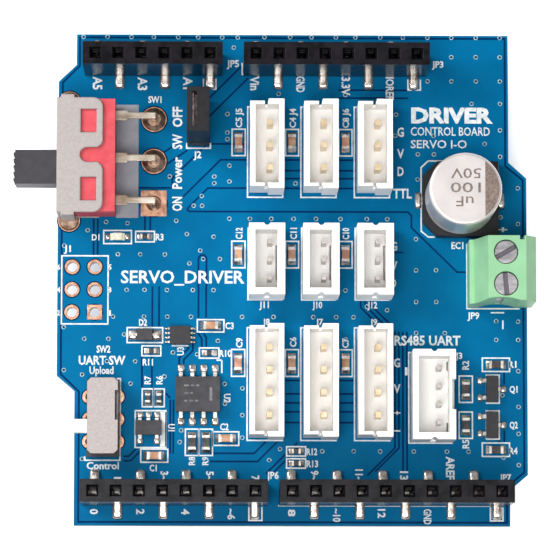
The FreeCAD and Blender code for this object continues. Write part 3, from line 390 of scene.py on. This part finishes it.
def box_path(x, y, wide, deep):
    """Four corners of a rectangle about its middle."""
    return [(x + a * wide / 2, y + b * deep / 2) for a, b in ((-1, -1), (1, -1), (1, 1), (-1, 1))]


BOXES = [
    (-23.02, -1.31, 5.18, 7.65), (-19.4, 4.64, 3.1, 1.48), (-16.33, 4.7, 2.1, 1.19),
    (-16.29, -6.37, 3.96, 1.68), (-15.56, -8.13, 2.1, 1.12), (-8.96, -5.31, 2.97, 1.38),
    (-9.12, -8.36, 2.17, 1.14), (-15.95, -13.38, 1.2, 1.99), (-14.7, -13.38, 1.2, 1.99),
    (-15.61, -16.87, 3.42, 4.11), (-15.18, -19.83, 3.01, 1.46), (-10.99, -18.33, 1.48, 2.94),
    (-9.45, -18.33, 1.48, 2.94), (-7.23, -17.91, 2.88, 1.52), (0.59, -19.31, 2.11, 1.04),
    (0.59, -20.66, 2.11, 1.04), (22.9, -9.59, 3.04, 1.5), (22.85, -19.08, 3.04, 1.5),
    (19.52, -12.33, 1.48, 2.95), (19.5, -16.35, 1.48, 2.95), (22.54, -12.31, 1.42, 3.15),
    (22.52, -16.32, 1.42, 3.15), (15.54, -13.3, 4.77, 10.12),
]
BOXES += [(x, y, 1.48, 3.0) for x in (-5.88, 0.12, 6.11) for y in (15.38, 2.72, -9.45)]
for column in (-2.9, 3.08, 9.07):
    BOXES += [
        (column, 14.3, 3.94, 10.24), (column, 1.68, 3.78, 8.08), (column, -11.8, 3.94, 12.6),
    ]
STROKES = [
    [(-11.7, 15.3), (-11.7, 14.7), (-9.05, 14.7), (-9.05, 15.3)],
    [(-19.4, -11.25), (-19.0, -11.25), (-19.0, -20.35), (-22.9, -20.35), (-22.9, -19.9)],
    [(15.4, 13.35), (14.6, 12.6), (14.6, 5.4), (15.4, 4.75), (16.1, 4.75)],
    [(15.4, 13.35), (17.2, 13.35)],
    [(23.2, 13.0), (23.2, 12.3)],
    [(19.7, 4.0), (19.7, -3.3), (25.6, -3.3)],
    [(-7.7, -9.15), (-7.7, -10.6)],
    [(-8.3, -9.15), (-7.7, -9.15)],
    [(22.35, -3.75), (23.85, -3.75)],
]
for left, right, open_end, closed_end in (
    (-9.85, -8.45, 22.6, 21.4), (13.15, 14.55, 22.6, 21.4),
    (-4.65, -3.2, -25.5, -27.0), (22.2, 23.6, -25.5, -27.0),
):
    STROKES.append(
        [(left, open_end), (left, closed_end), (right, closed_end), (right, open_end)]
    )
STROKES += [
    [(-5.5, 24.4), (-5.5, 23.1), (13.0, 23.1)],
    [(-1.4, -25.35), (22.2, -25.35)],
]
printed = [
    ribbon(on_board(box_path(*box)), line_width, deck, ink_top, closed=True) for box in BOXES
]
printed += [ribbon(on_board(path), line_width, deck, ink_top) for path in STROKES]
FILLS = [(-14.2, -16.87, 0.7, 3.9), (12.88, -10.35, 0.3, 0.9), (-12.35, -7.55, 1.9, 0.16)]
printed += [
    ribbon(on_board([(x - wide / 2, y), (x + wide / 2, y)]), deep * MM, deck, ink_top)
    for x, y, wide, deep in FILLS
]
put_in("printed_boxes", printed, print_ink)
# Painted shadow: the filled patch is white ink coloured grey for the power switch's shadow beside
# it.
patch_ink_painted_shadow = finish(
    "patch_ink_painted_shadow", 1.5, [tone(146, 148, 157), tone(157, 159, 167)], (0.45, 0.6), bump=0.006,
)
put_in(
    "printed_patch",
    [ribbon(on_board([(-18.35, 6.8), (-18.35, 19.6)]), 2.5 * MM, deck, deck + 0.015 * MM)],
    patch_ink_painted_shadow,
)


def lettering(words, x, y, tall, span, turn=0, low=deck, high=ink_top, heavy=0.0):
    """Words cut as thin solids: outline filled, centred, stretched to a span, turned, and laid
    between two heights. Sizes in millimetres, turns in degrees."""
    text = bpy.data.curves.new("words", "FONT")
    text.body = words
    text.resolution_u = 2
    text.extrude = 0.01
    text.offset = heavy
    cut = bpy.data.objects.new("words", text)
    bpy.context.scene.collection.objects.link(cut)
    settled = cut.evaluated_get(bpy.context.evaluated_depsgraph_get())
    mesh = bpy.data.meshes.new_from_object(settled)
    bpy.data.objects.remove(cut)
    points = np.empty(len(mesh.vertices) * 3)
    mesh.vertices.foreach_get("co", points)
    points = points.reshape(-1, 3)
    faces = [list(face.vertices) for face in mesh.polygons]
    bpy.data.meshes.remove(mesh)
    lowest, highest = points.min(0), points.max(0)
    points -= (lowest + highest) / 2
    capital = 0.729
    points[:, 1] *= tall * MM / capital
    points[:, 0] *= span * MM / (highest - lowest)[0]
    angle = math.radians(turn)
    flat = points[:, :2] @ np.array(
        [[math.cos(angle), math.sin(angle)], [-math.sin(angle), math.cos(angle)]]
    )
    heights = np.where(points[:, 2] > 0, high, low)
    return np.column_stack([flat + on_board((x, y)), heights]), faces


LABELS = [
    ("A5", -21.75, 22.05, 1.05, 1.5, -90), ("A3", -16.7, 22.0, 1.05, 1.5, -90),
    ("A1", -11.6, 22.1, 1.05, 1.4, -90), ("JP5", -6.55, 24.2, 0.8, 1.4, 0),
    ("Vin", -4.1, 22.1, 1.0, 1.6, -90), ("GND", 1.05, 22.0, 0.95, 1.8, -90),
    ("3.3V", 6.15, 21.8, 0.95, 2.1, -90), ("IOREF", 11.1, 21.55, 0.9, 2.6, -90),
    ("JP3", 16.5, 24.2, 0.75, 1.3, 0), ("SW1", -15.3, 20.2, 0.75, 1.5, 0),
    ("ON", -12.75, 8.4, 1.1, 1.6, 90), ("Power", -12.75, 11.9, 1.1, 3.6, 90),
    ("SW", -12.75, 15.45, 1.1, 1.7, 90), ("OFF", -12.75, 18.25, 1.1, 2.3, 90),
    ("J2", -10.5, 13.85, 0.8, 0.9, 0),
    ("C5 J5", -5.75, 18.15, 0.72, 2.2, 90), ("C4 J4", 0.3, 18.15, 0.72, 2.2, 90),
    ("C8 J6", 6.25, 18.15, 0.72, 2.2, 90), ("C12", -5.8, 5.1, 0.75, 1.3, 90),
    ("C11", 0.3, 5.1, 0.75, 1.3, 90), ("C10", 6.15, 5.1, 0.75, 1.3, 90),
    ("C9", -5.75, -7.2, 0.72, 1.1, 90), ("C6", 0.25, -7.1, 0.72, 1.1, 90),
    ("C7", 6.1, -7.2, 0.72, 1.1, 90), ("J11", -3.0, -3.05, 0.75, 1.1, 0),
    ("J10", 2.95, -3.05, 0.75, 1.1, 0), ("J12", 9.1, -3.05, 0.75, 1.1, 0),
    ("J8", -2.75, -4.95, 0.7, 0.8, 0), ("J7", 3.2, -4.95, 0.7, 0.8, 0),
    ("J9", 9.25, -4.95, 0.7, 0.8, 0), ("G", 12.3, 16.6, 1.05, 0.75, 0),
    ("V", 12.3, 14.15, 1.05, 0.8, 0), ("D", 12.3, 12.15, 1.05, 0.7, 0),
    ("TTL", 12.5, 9.65, 1.1, 2.1, 0), ("G", 11.55, 3.7, 1.0, 0.7, 0),
    ("V", 11.55, 1.5, 1.0, 0.75, 0), ("D", 11.45, -0.45, 1.0, 0.7, 0),
    ("EC1", 18.65, 3.8, 0.78, 1.35, 0), ("+", 23.75, 5.6, 0.75, 1.0, 0),
    ("JP9", 20.4, -4.2, 0.75, 1.35, 0), ("RS485 UART", 15.25, -6.9, 1.1, 7.4, 0),
    ("G", 11.85, -9.4, 1.0, 0.7, 0), ("V", 11.85, -12.3, 1.0, 0.75, 0),
    ("+", 11.85, -15.0, 0.55, 0.75, 0), ("J3", 18.75, -8.7, 0.7, 0.8, 0),
    ("R2", 19.5, -9.65, 0.75, 1.0, 90), ("R5", 19.5, -18.45, 0.75, 1.0, 90),
    ("R1", 24.75, -9.55, 0.75, 0.9, 0), ("Q1", 24.85, -12.4, 0.75, 0.9, 0),
    ("Q2", 24.85, -16.4, 0.75, 0.9, 0), ("R4", 24.8, -19.2, 0.75, 0.95, 0),
    ("AREF", 17.75, -21.15, 0.95, 2.6, -90), ("13", 12.6, -22.0, 0.9, 1.0, -90),
    ("11~", 7.6, -22.0, 0.85, 1.4, -90), ("9~", 2.65, -22.0, 0.85, 1.1, -90),
    ("8", 0.1, -26.15, 0.8, 0.8, -90), ("~10", 5.1, -26.4, 0.85, 1.5, -90),
    ("12", 10.1, -26.2, 0.85, 1.0, -90), ("GND", 15.2, -26.55, 0.85, 1.7, -90),
    ("0", -21.85, -26.05, 0.9, 0.6, -90), ("1", -19.25, -22.35, 0.8, 0.3, -90),
    ("2", -16.7, -26.05, 0.9, 0.6, -90), ("3~", -14.05, -22.1, 0.85, 1.1, -90),
    ("4", -11.7, -26.05, 0.9, 0.65, -90), ("5~", -9.0, -22.1, 0.85, 1.1, -90),
    ("~6", -6.6, -26.3, 0.85, 1.2, -90), ("7", -3.95, -22.3, 0.85, 0.6, -90),
    ("JP6", -2.0, -22.1, 0.8, 1.35, 0), ("JP7", 23.9, -22.3, 0.75, 1.3, 0),
    ("SW2", -20.9, -7.95, 0.8, 1.55, 0), ("UART SW", -21.05, -9.2, 1.0, 5.2, 0),
    ("Upload", -21.1, -10.45, 0.85, 2.7, 0), ("Control", -20.9, -20.95, 0.8, 3.6, 0),
    ("J1", -25.0, 3.2, 0.75, 0.8, 0), ("6", -25.95, 1.25, 0.6, 0.35, 0),
    ("5", -20.25, 1.25, 0.6, 0.4, 0), ("4", -25.95, -1.3, 0.6, 0.4, 0),
    ("3", -20.25, -1.3, 0.6, 0.4, 0), ("2", -25.95, -3.9, 0.6, 0.4, 0),
    ("1", -20.2, -3.9, 0.6, 0.2, 0), ("D1", -21.85, 4.6, 0.7, 0.85, 0),
    ("R3", -14.7, 4.65, 0.75, 0.9, 0), ("D2", -16.5, -4.95, 0.75, 0.9, 0),
    ("C3", -6.85, -5.3, 0.75, 0.95, 0), ("R10", -7.3, -8.4, 0.75, 1.35, 0),
    ("R11", -15.95, -9.4, 0.75, 1.15, 0), ("R7", -15.95, -11.4, 0.72, 0.95, 90),
    ("R6", -14.65, -11.4, 0.72, 0.95, 90), ("U3", -12.3, -8.15, 0.75, 0.95, 90),
    ("U2", -7.1, -13.4, 0.75, 1.0, -90), ("U1", -13.3, -16.7, 0.75, 0.8, -90),
    ("C1", -15.3, -21.2, 0.75, 0.8, 0), ("C2", -7.4, -16.6, 0.75, 0.95, 0),
    ("R8", -11.0, -20.4, 0.7, 0.95, 90), ("R9", -9.5, -20.4, 0.7, 0.95, 90),
    ("R12", 2.35, -19.35, 0.75, 1.2, 0), ("R13", 2.4, -20.7, 0.75, 1.3, 0),
]
words = [
    lettering(text, x, y, tall, span, turn, heavy=0.03)
    for text, x, y, tall, span, turn in LABELS
]
words += [
    lettering("SERVO_DRIVER", -12.1, 0.05, 1.45, 13.8, heavy=0.02),
    lettering("DRIVER", 18.1, 18.5, 1.7, 9.2, heavy=0.05),
    lettering("CONTROL BOARD", 17.9, 16.7, 1.0, 8.9, heavy=0.012),
    lettering("SERVO I-O", 16.6, 15.25, 0.95, 6.3, heavy=0.012),
]
words += [
    ribbon(on_board(path), 0.17 * MM, deck, ink_top)
    for path in ([(23.7, -4.6), (23.7, -5.6)], [(11.5, -17.0), (12.2, -17.0)])
]
put_in("printed_words", words, print_ink)

# Stacking sockets. Black moulded strips with a square funnel over each contact, the tinned
# spring contact deep in the well, its colour painted darker as it rises, as painted shade of
# the well, and a flat soldered foot, to one side and then the other.
socket_black = finish(
    "socket_black", 1.2, [tone(19, 18, 21), tone(34, 32, 37)], (0.18, 0.3), bump=0.003,
    bump_grain=0.15, specular_ior_level=0.22,
)
wear(socket_black, "analog_socket", "power_socket", "digital_low_socket", "digital_high_socket")
bright_tin = finish(
    "bright_tin", 0.8, [tone(186, 178, 170), tone(236, 231, 225)], (0.2, 0.36), bump=0.008,
    bump_grain=0.3, metallic=0.6,
)
painted_shade_spring = finish(
    "spring_tin_painted_shade", 0.8, [tone(196, 188, 180), tone(236, 231, 225)], (0.2, 0.36), bump=0.008,
    bump_grain=0.3, metallic=0.6,
)
# Painted shade: the spring tin is coloured darker with height, standing for the well's shade.
fade_by_height(painted_shade_spring, deck + 1.5 * MM, deck + 3 * MM, tone(20, 18, 18))
wear(painted_shade_spring, "socket_contacts")


def islands(node):
    """Lowest and highest corners of each separate solid of a node: points that coincide are
    joined, then the smallest number in every face spreads until nothing changes."""
    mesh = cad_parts[node].data
    points = np.empty(len(mesh.vertices) * 3)
    mesh.vertices.foreach_get("co", points)
    corners = np.empty(len(mesh.loops), int)
    mesh.loops.foreach_get("vertex_index", corners)
    spots, merged = np.unique(np.round(points.reshape(-1, 3), 6), axis=0, return_inverse=True)
    faces = merged.ravel()[corners].reshape(-1, 3)
    group = np.arange(len(spots))
    while True:
        least = group[faces].min(1)
        spread = group.copy()
        for side in range(3):
            np.minimum.at(spread, faces[:, side], least)
        if (spread == group).all():
            break
        group = spread
    solids = [spots[group == name] for name in np.unique(group)]
    return np.array([(solid.min(0), solid.max(0)) for solid in solids])


def mound(low_corner, high_corner, foot, rise, slope=None, power=4, rows=9):
    """Solder mound over a rectangle: height is the root of one minus a power of the way to each
    edge. Where it leans on a part, that height's own root is multiplied by what is left of the
    way out, to the power 1.3."""
    way = np.linspace(-1, 1, rows)
    across, along = np.meshgrid(way, way, indexing="ij")
    body = np.sqrt((1 - np.abs(across) ** power) * (1 - np.abs(along) ** power))
    if slope is not None:
        out = (across * slope[0] + along * slope[1] + 1) / 2
        body = body ** 0.5 * (1 - out) ** 1.3
    middle, half = (low_corner + high_corner) / 2, (high_corner - low_corner) / 2
    round_off = 1 - 0.12 * (np.abs(across) * np.abs(along)) ** 2
    top = np.stack(
        [middle[0] + half[0] * across * round_off, middle[1] + half[1] * along * round_off,
         foot + 0.01 * MM + rise * body], -1,
    )
    index = np.arange(rows * rows).reshape(rows, rows)
    faces = np.stack(
        [index[:-1, :-1], index[1:, :-1], index[1:, 1:], index[:-1, 1:]], -1
    ).reshape(-1, 4).tolist()
    loop = np.concatenate([index[:-1, 0], index[-1, :-1], index[:0:-1, -1], index[0, :0:-1]])
    skirt = top.reshape(-1, 3)[loop].copy()
    skirt[:, 2] = foot
    start = rows * rows + np.arange(len(loop))
    faces += np.stack([loop, start, np.roll(start, -1), np.roll(loop, -1)], -1).tolist()
    faces.append(start[::-1].tolist())
    return np.vstack([top.reshape(-1, 3), skirt]), faces


outer_feet = 25.5 * MM
half = 0.6 * MM
foot_solder = []
for low, high in islands("socket_contacts"):
    side = 1 if low[1] + high[1] > 0 else -1
    reach = side if max(abs(low[1]), abs(high[1])) > outer_feet else -side
    tip = high[1] if reach > 0 else low[1]
    near, far = sorted((tip + reach * 0.25 * MM, tip - reach * 1.9 * MM))
    middle = (low[0] + high[0]) / 2
    foot_solder.append(
        mound(np.array([middle - half, near]), np.array([middle + half, far]), deck,
              0.5 * MM, power=5, rows=13)
    )
wave_solder = finish(
    "wave_solder", 0.7, [tone(170, 158, 148), tone(230, 223, 216)], (0.14, 0.3), bump=0.012,
    bump_grain=0.35, metallic=0.9,
)
put_in("foot_solder", foot_solder, wave_solder, smooth=True)

# Underside strips. Square brass pins, tinned, pressed through a black moulded bar, so the
# board plugs into the one below. They carry the same springy finish as any header pin.
for row in ("analog", "power", "digital_low", "digital_high"):
    wear(socket_black, f"{row}_pin_strip")
pin_tin = finish(
    "pin_tin", 0.9, [tone(202, 180, 144), tone(228, 206, 172)], (0.26, 0.4), bump=0.006,
    stretch=(1, 1, 0.3), metallic=0.35,
)
wear(pin_tin, "strip_pins", "three_way_pins", "four_way_pins", "jumper_pins")

# Plated holes and hand solder. Bare copper rings round the switch legs, the switch lugs and
# the six open programming holes; the solder in them has wetted the copper and set in cones.
copper = finish(
    "bare_copper", 0.6, [tone(172, 122, 98), tone(216, 170, 142)], (0.24, 0.42), bump=0.01,
    metallic=0.85,
)
wear(copper, "plated_holes")
dull_solder = finish(
    "dull_solder", 0.6, [tone(112, 88, 74), tone(178, 150, 130)], (0.26, 0.42), bump=0.012,
    bump_grain=0.35, metallic=0.85,
)
wear(dull_solder, "solder_joints")
gaps = []
for low, high in islands("plated_holes"):
    wide = (high[0] - low[0]) / 2
    middle = (low[:2] + high[:2]) / 2
    gaps += rings([middle], wide * 0.9, wide + 0.13 * MM, deck, 0.011 * MM, sides=28)
put_in("pad_clearances", gaps, clearance_blue, smooth=True)

# Chip parts. Brown ceramic capacitors and black film resistors with tinned ends, reflowed on
# their pads, so each end sits in a small bright fillet. The lamp is clear resin on white.
ceramic = finish(
    "capacitor_ceramic", 0.8, [tone(166, 116, 86), tone(200, 152, 120)], (0.4, 0.55), bump=0.008,
)
wear(ceramic, "chip_capacitors")
film = finish("resistor_film", 0.5, [tone(22, 20, 22), tone(70, 60, 58)], (0.3, 0.45), bump=0.004)
wear(film, "chip_resistors")
wear(bright_tin, "chip_end_caps", "chip_leads", "capacitor_leads")
wear(
    finish("lamp_resin", 0.7, [tone(232, 226, 196), tone(250, 248, 236)], (0.15, 0.3), bump=0.004,
           coat_weight=0.6, subsurface_weight=0.3, subsurface_scale=0.0006),
    "status_led",
)
CHIPS = ("chip_resistors", "chip_capacitors", "status_led", "clamp_diode")
chips = np.vstack([islands(node) for node in CHIPS])
chip_middles = chips.mean(1)[:, :2]
fillets = []
for low, high in islands("chip_end_caps"):
    middle = (low[:2] + high[:2]) / 2
    away = middle - chip_middles[np.argmin(np.linalg.norm(chip_middles - middle, axis=1))]
    axis = int(np.argmax(np.abs(away)))
    way = np.sign(away[axis])
    near, far = low[:2].copy(), high[:2].copy()
    near[1 - axis] -= 0.12 * MM
    far[1 - axis] += 0.12 * MM
    if way > 0:
        far[axis] += 0.38 * MM
    else:
        near[axis] -= 0.38 * MM
    slope = np.zeros(2)
    slope[axis] = way
    fillets.append(mound(near, far, deck, 0.8 * (high[2] - deck), slope=slope))
for low, high, inward, outward, rise, power in (
    (*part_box("status_led"), 0.05 * MM, 0.6 * MM, 0.35 * MM, 4),
    (*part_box("clamp_diode"), 0.15 * MM, 1.05 * MM, 0.42 * MM, 5),
):
    for end, way in ((low.x, -1), (high.x, 1)):
        left, right = sorted((end - way * inward, end + way * outward))
        near, far = np.array([left, low.y]), np.array([right, high.y])
        fillets.append(mound(near, far, deck, rise, power=power))
tabs = islands("capacitor_leads")
for low, high in tabs:
    way = 1 if low[0] > tabs[:, 0, 0].mean() else -1
    end = high[0] if way > 0 else low[0]
    left, right = sorted((end + way * 0.12 * MM, end - way * 0.7 * MM))
    middle = (low[1] + high[1]) / 2
    near, far = np.array([left, middle - MM]), np.array([right, middle + MM])
    fillets.append(mound(near, far, deck, 0.32 * MM, power=6))
put_in("chip_fillets", fillets, wave_solder, smooth=True)

# Leaded chips. Black filled epoxy moulded round a lead frame, faintly grained, the two small
# kinds darker, with a laser mark on the big one; each lead ends in a bright foot of solder.
mould_black = finish(
    "mould_black", 1.0, [tone(44, 43, 47), tone(64, 62, 67)], (0.5, 0.68), bump=0.008,
    bump_grain=0.12,
)
small_mould_black = finish(
    "small_mould_black", 0.8, [tone(26, 24, 29), tone(42, 40, 46)], (0.45, 0.6), bump=0.008,
)
wear(mould_black, "line_driver_chip", "regulator_chip", "clamp_diode")
wear(small_mould_black, "gate_chip", "transistors")
LEADED = ("line_driver_chip", "gate_chip", "regulator_chip", "transistors")
bodies = np.vstack([islands(node) for node in LEADED])
broad_lead = 0.3 * MM
feet = []
for low, high in islands("chip_leads"):
    middle = (low[:2] + high[:2]) / 2
    gap = np.maximum(bodies[:, 0, :2] - middle, middle - bodies[:, 1, :2]).max(1)
    nearest = bodies[np.argmin(gap)]
    beyond = np.maximum(nearest[0, :2] - middle, middle - nearest[1, :2])
    axis = int(np.argmax(beyond))
    way = np.sign(middle[axis] - nearest[:, axis].mean())
    size = high[:2] - low[:2]
    near, far = low[:2].copy(), high[:2].copy()
    broad = size[1 - axis] > broad_lead
    spare = (0.55 if broad else 0.2) * min(size[1 - axis], 0.5 * MM)
    near[1 - axis] -= spare
    far[1 - axis] += spare
    tip = 0.42 * MM if broad else 0.15 * MM
    if way > 0:
        far[axis] += tip
        near[axis] += 0.45 * size[axis]
    else:
        near[axis] -= tip
        far[axis] -= 0.45 * size[axis]
    feet.append(mound(near, far, deck, 0.3 * MM, power=4, rows=9))
put_in("lead_solder", feet, wave_solder, smooth=True)
laser = finish(
    "laser_mark", 0.4, [tone(92, 94, 98), tone(128, 130, 134)], (0.55, 0.7), bump=0.004,
)
chip_low, chip_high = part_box("line_driver_chip")
chip_middle = (np.array(chip_low) + np.array(chip_high))[:2] / 2 - [board_middle, 0]
mark_top = chip_high.z + 0.008 * MM
marks = []
for row, runs in enumerate(((0.55, 0.4, 0.35), (0.5, 0.3), (0.35, 0.45, 0.4))):
    start = -1.55
    for run in runs:
        left = chip_middle / MM + [start, 0.95 - row * 0.85]
        dash = on_board([left, left + [run, 0]])
        marks.append(ribbon(dash, 0.2 * MM, chip_high.z, mark_top))
        start += run + 0.2
foot = chip_middle / MM + [1.45, -0.75]
bar = on_board([foot, foot + [0, 1.5]])
marks.append(ribbon(bar, 0.3 * MM, chip_high.z, mark_top))
put_in("chip_marks", marks, laser)

# Wire headers. Natural nylon, moulded, slightly see-through at its thin walls, with square
# pins pressed up through the floor. They are soldered under the board.
nylon = finish(
    "white_nylon", 2.5, [tone(252, 250, 247), tone(255, 254, 252)], (0.42, 0.55), bump=0.004,
    bump_grain=0.5, specular_ior_level=0.3,
)
for number in (1, 2, 3):
    wear(nylon, f"three_way_header_{number}", f"small_header_{number}", f"four_way_header_{number}")
wear(nylon, "serial_header")
pale_pin = finish(
    "pale_pin", 0.9, [tone(172, 164, 158), tone(198, 190, 184)], (0.3, 0.42), bump=0.006,
    metallic=0.3,
)
wear(pale_pin, "small_header_pins", "serial_header_pins")

# Screw terminal. Green polyamide block with two slotted plated screws over clamp cages; the
# wires go in from the board's edge and turning a screw clockwise draws its cage up. The
# screws are painted darker down in their slots, as painted shade.
green = finish(
    "green_polyamide", 3.0, [tone(139, 193, 147), tone(151, 205, 158)], (0.36, 0.5), bump=0.006,
    bump_grain=0.25, specular_ior_level=0.3,
)
wear(green, "terminal_housing")
screw_plate = finish(
    "screw_plate", 1.4, [tone(150, 147, 151), tone(196, 193, 197)], (0.24, 0.38), bump=0.003,
    bump_grain=0.25, stretch=(1, 3, 1), metallic=0.7, soft=0.12,
)
screw_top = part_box("terminal_screw_1")[1].z
# Painted shade: the screw colour darkens below the top of the slot, standing for shade in the slot.
fade_by_height(
    screw_plate, screw_top - 0.15 * MM, screw_top - 0.5 * MM, tone(128, 122, 131)
)
wear(screw_plate, "terminal_screw_1", "terminal_screw_2")
wear(bright_tin, "terminal_clamp_1", "terminal_clamp_2", "terminal_pins")

# Power switch. Rolled steel shell folded over a red pressed base, riveted through by its own
# lugs; a dark moulded lever with a ribbed end; three tinned brass legs bent over to the board.
wear(
    finish("switch_shell", 0.25, [tone(160, 152, 149), tone(170, 162, 159)], (0.44, 0.54),
           bump=0.003, bump_grain=0.12, metallic=0.25, soft=0.25),
    "power_switch_frame",
)
wear(
    finish("red_base", 1.4, [tone(196, 58, 69), tone(212, 74, 84)], (0.42, 0.56), bump=0.006),
    "power_switch_base",
)
wear(
    finish("grey_lever", 1.2, [tone(38, 35, 41), tone(49, 46, 52)], (0.5, 0.6), bump=0.008),
    "power_switch_lever",
)
wear(
    finish("leg_tin", 1.2, [tone(160, 138, 116), tone(232, 222, 208)], (0.24, 0.38), bump=0.003,
           stretch=(0.4, 1, 1), metallic=0.7, soft=0.1),
    "power_switch_terminals", "power_switch_bridge",
)

# Mode switch. Nickel-plated pressed cover crimped over a black base, six pins, a white lever
# that reaches past the board's edge.
wear(
    finish("nickel_cover", 0.2, [tone(160, 150, 147), tone(174, 165, 162)], (0.44, 0.54),
           bump=0.003, bump_grain=0.1, metallic=0.25, soft=0.12),
    "mode_switch_cover",
)
wear(mould_black, "mode_switch_base")
wear(
    finish("white_lever", 1.0, [tone(238, 238, 236), tone(250, 250, 250)], (0.35, 0.45), bump=0.006,
           subsurface_weight=0.2, subsurface_scale=0.0008),
    "mode_switch_lever",
)
wear(bright_tin, "mode_switch_terminals", "mode_switch_bridge")

# Jumper. Two square posts in a black bar, bridged by a pull-off black cap with a spring clip
# that shows as a bright sliver in the open slot on top.
jumper_black = finish(
    "jumper_black", 1.0, [tone(18, 17, 22), tone(32, 30, 36)], (0.45, 0.6), bump=0.008,
    bump_grain=0.3, specular_ior_level=0.3,
)
wear(jumper_black, "jumper_header", "jumper_cap")
shaded_clip = finish(
    "shaded_clip", 0.5, [tone(70, 62, 64), tone(150, 136, 134)], (0.3, 0.5), bump=0.008,
    metallic=0.5,
)
wear(shaded_clip, "jumper_clip")

# Reservoir capacitor. Drawn aluminium can with a rolled shoulder on a black base plate with
# two cut corners. Its print is a value, a voltage and a dark segment for the minus.
can_metal = finish(
    "can_metal", 2.0, [tone(226, 219, 217), tone(234, 227, 225)], (0.28, 0.36), bump=0.002,
    bump_grain=0.3, metallic=0.6, soft=0.08,
)
wear(can_metal, "capacitor_can")
wear(jumper_black, "capacitor_base")
can_low, can_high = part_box("capacitor_can")
can_top = can_high.z
can_middle = np.array([(can_low.x + can_high.x) / 2, (can_low.y + can_high.y) / 2])
can_place = can_middle / MM - [board_middle / MM, 0]
print_top = can_top + 0.01 * MM
grey_print = finish(
    "grey_print", 0.25, [tone(104, 90, 82), tone(142, 124, 114)], (0.5, 0.65), bump=0.004,
)
top_reach = 3.72 * MM
cut_at = 2.15 * MM
sweep = math.acos(cut_at / top_reach)
arc = np.linspace(-sweep, sweep, 33)
rim = can_middle + top_reach * np.column_stack([np.cos(arc), np.sin(arc)])
count = len(rim)
solid = np.vstack([np.column_stack([rim, np.full(count, z)]) for z in (can_top, print_top)])
spot = np.arange(count)
ahead = (spot + 1) % count
segment = np.column_stack([spot, ahead, ahead + count, spot + count]).tolist()
segment += [spot[::-1].tolist(), (spot + count).tolist()]
put_in("minus_segment", [(solid, segment)], grey_print)
CAN_WORDS = (("uF", -0.1, -1.4, 1.9), ("100", 0.0, 0.13, 3.3), ("50V", 0.05, 1.7, 3.3))
can_words = [
    lettering(text, can_place[0] + x, can_place[1] + y, 1.15, span, 180, can_top, print_top, 0.004)
    for text, x, y, span in CAN_WORDS
]
put_in("can_print", can_words, grey_print)

# Studio. White sweep under the board, a soft lamp from the left and a larger one overhead,
# and a pale surround that darkens towards the horizon so the metal has something to reflect.
# The sweep glows a little outside the board, so the shadow there stays nearly white.
floor_half = 0.6
bpy.ops.mesh.primitive_plane_add(
    size=2 * floor_half, location=(0, 0, cad_box[0].z - 0.02 * MM)
)
floor = bpy.context.object
floor.name = "floor"
paper = finish("floor_paper", 40, [tone(250, 250, 250), tone(252, 252, 252)], (0.8, 0.9))
tree = paper.node_tree
shader = tree.nodes["Principled BSDF"]
place = tree.nodes.new("ShaderNodeTexCoord")
split = tree.nodes.new("ShaderNodeSeparateXYZ")
outside = tree.nodes.new("ShaderNodeMath")
outside.operation = "MAXIMUM"
for row, half in enumerate((25.5 * MM, 26.5 * MM)):
    side = tree.nodes.new("ShaderNodeMath")
    side.operation = "ABSOLUTE"
    share = tree.nodes.new("ShaderNodeMath")
    share.operation = "DIVIDE"
    share.inputs[1].default_value = half
    tree.links.new(split.outputs[row], side.inputs[0])
    tree.links.new(side.outputs["Value"], share.inputs[0])
    tree.links.new(share.outputs["Value"], outside.inputs[row])
glow = tree.nodes.new("ShaderNodeMapRange")
glow.interpolation_type = "SMOOTHSTEP"
glow.inputs["From Min"].default_value = 0.9
glow.inputs["From Max"].default_value = 1.15
glow.inputs["To Max"].default_value = 0.7
shader.inputs["Emission Color"].default_value = (1, 1, 1, 1)
tree.links.new(place.outputs["Object"], split.inputs["Vector"])
tree.links.new(outside.outputs["Value"], glow.inputs["Value"])
tree.links.new(glow.outputs["Result"], shader.inputs["Emission Strength"])
floor.data.materials.append(paper)
world = bpy.data.worlds.new("surround")
bpy.context.scene.world = world
world.use_nodes = True
tree = world.node_tree
place = tree.nodes.new("ShaderNodeTexCoord")
split = tree.nodes.new("ShaderNodeSeparateXYZ")
ramp = tree.nodes.new("ShaderNodeValToRGB")
ramp.color_ramp.elements[0].position = 0.0
ramp.color_ramp.elements[0].color = (0.22, 0.22, 0.23, 1)
ramp.color_ramp.elements[1].position = 0.75
ramp.color_ramp.elements[1].color = (0.8, 0.8, 0.8, 1)
tree.links.new(place.outputs["Generated"], split.inputs["Vector"])
tree.links.new(split.outputs["Z"], ramp.inputs["Fac"])
tree.links.new(ramp.outputs["Color"], tree.nodes["Background"].inputs["Color"])
tree.nodes["Background"].inputs["Strength"].default_value = 0.45
for name, spot, size, power in (
    ("key", (-0.18, 0.09, 0.19), 0.14, 0.62),
    ("overhead", (-0.05, -0.13, 0.45), 0.2, 1.3),
):
    light = bpy.data.lights.new(name, "AREA")
    light.size = size
    light.energy = power
    lamp = bpy.data.objects.new(name, light)
    bpy.context.scene.collection.objects.link(lamp)
    lamp.location = spot
    lamp.rotation_mode = "QUATERNION"
    lamp.rotation_quaternion = (-Vector(spot)).to_track_quat("-Z", "Y")
bpy.context.scene.view_settings.view_transform = "Standard"

# Camera. A long lens almost straight above, leaning a little so the near walls show.
lens = bpy.data.cameras.new("camera")
lens.lens = 248.8
lens.clip_start, lens.clip_end = 0.05, 5
camera = bpy.data.objects.new("camera", lens)
bpy.context.scene.collection.objects.link(camera)
lean = np.radians([6.211, -0.912, 0.122])
camera.rotation_mode = "AXIS_ANGLE"
camera.rotation_axis_angle = (float(np.linalg.norm(lean)), *(lean / np.linalg.norm(lean)).tolist())
camera.location = (-0.006485, -0.04557, 0.43264)
bpy.context.scene.camera = camera
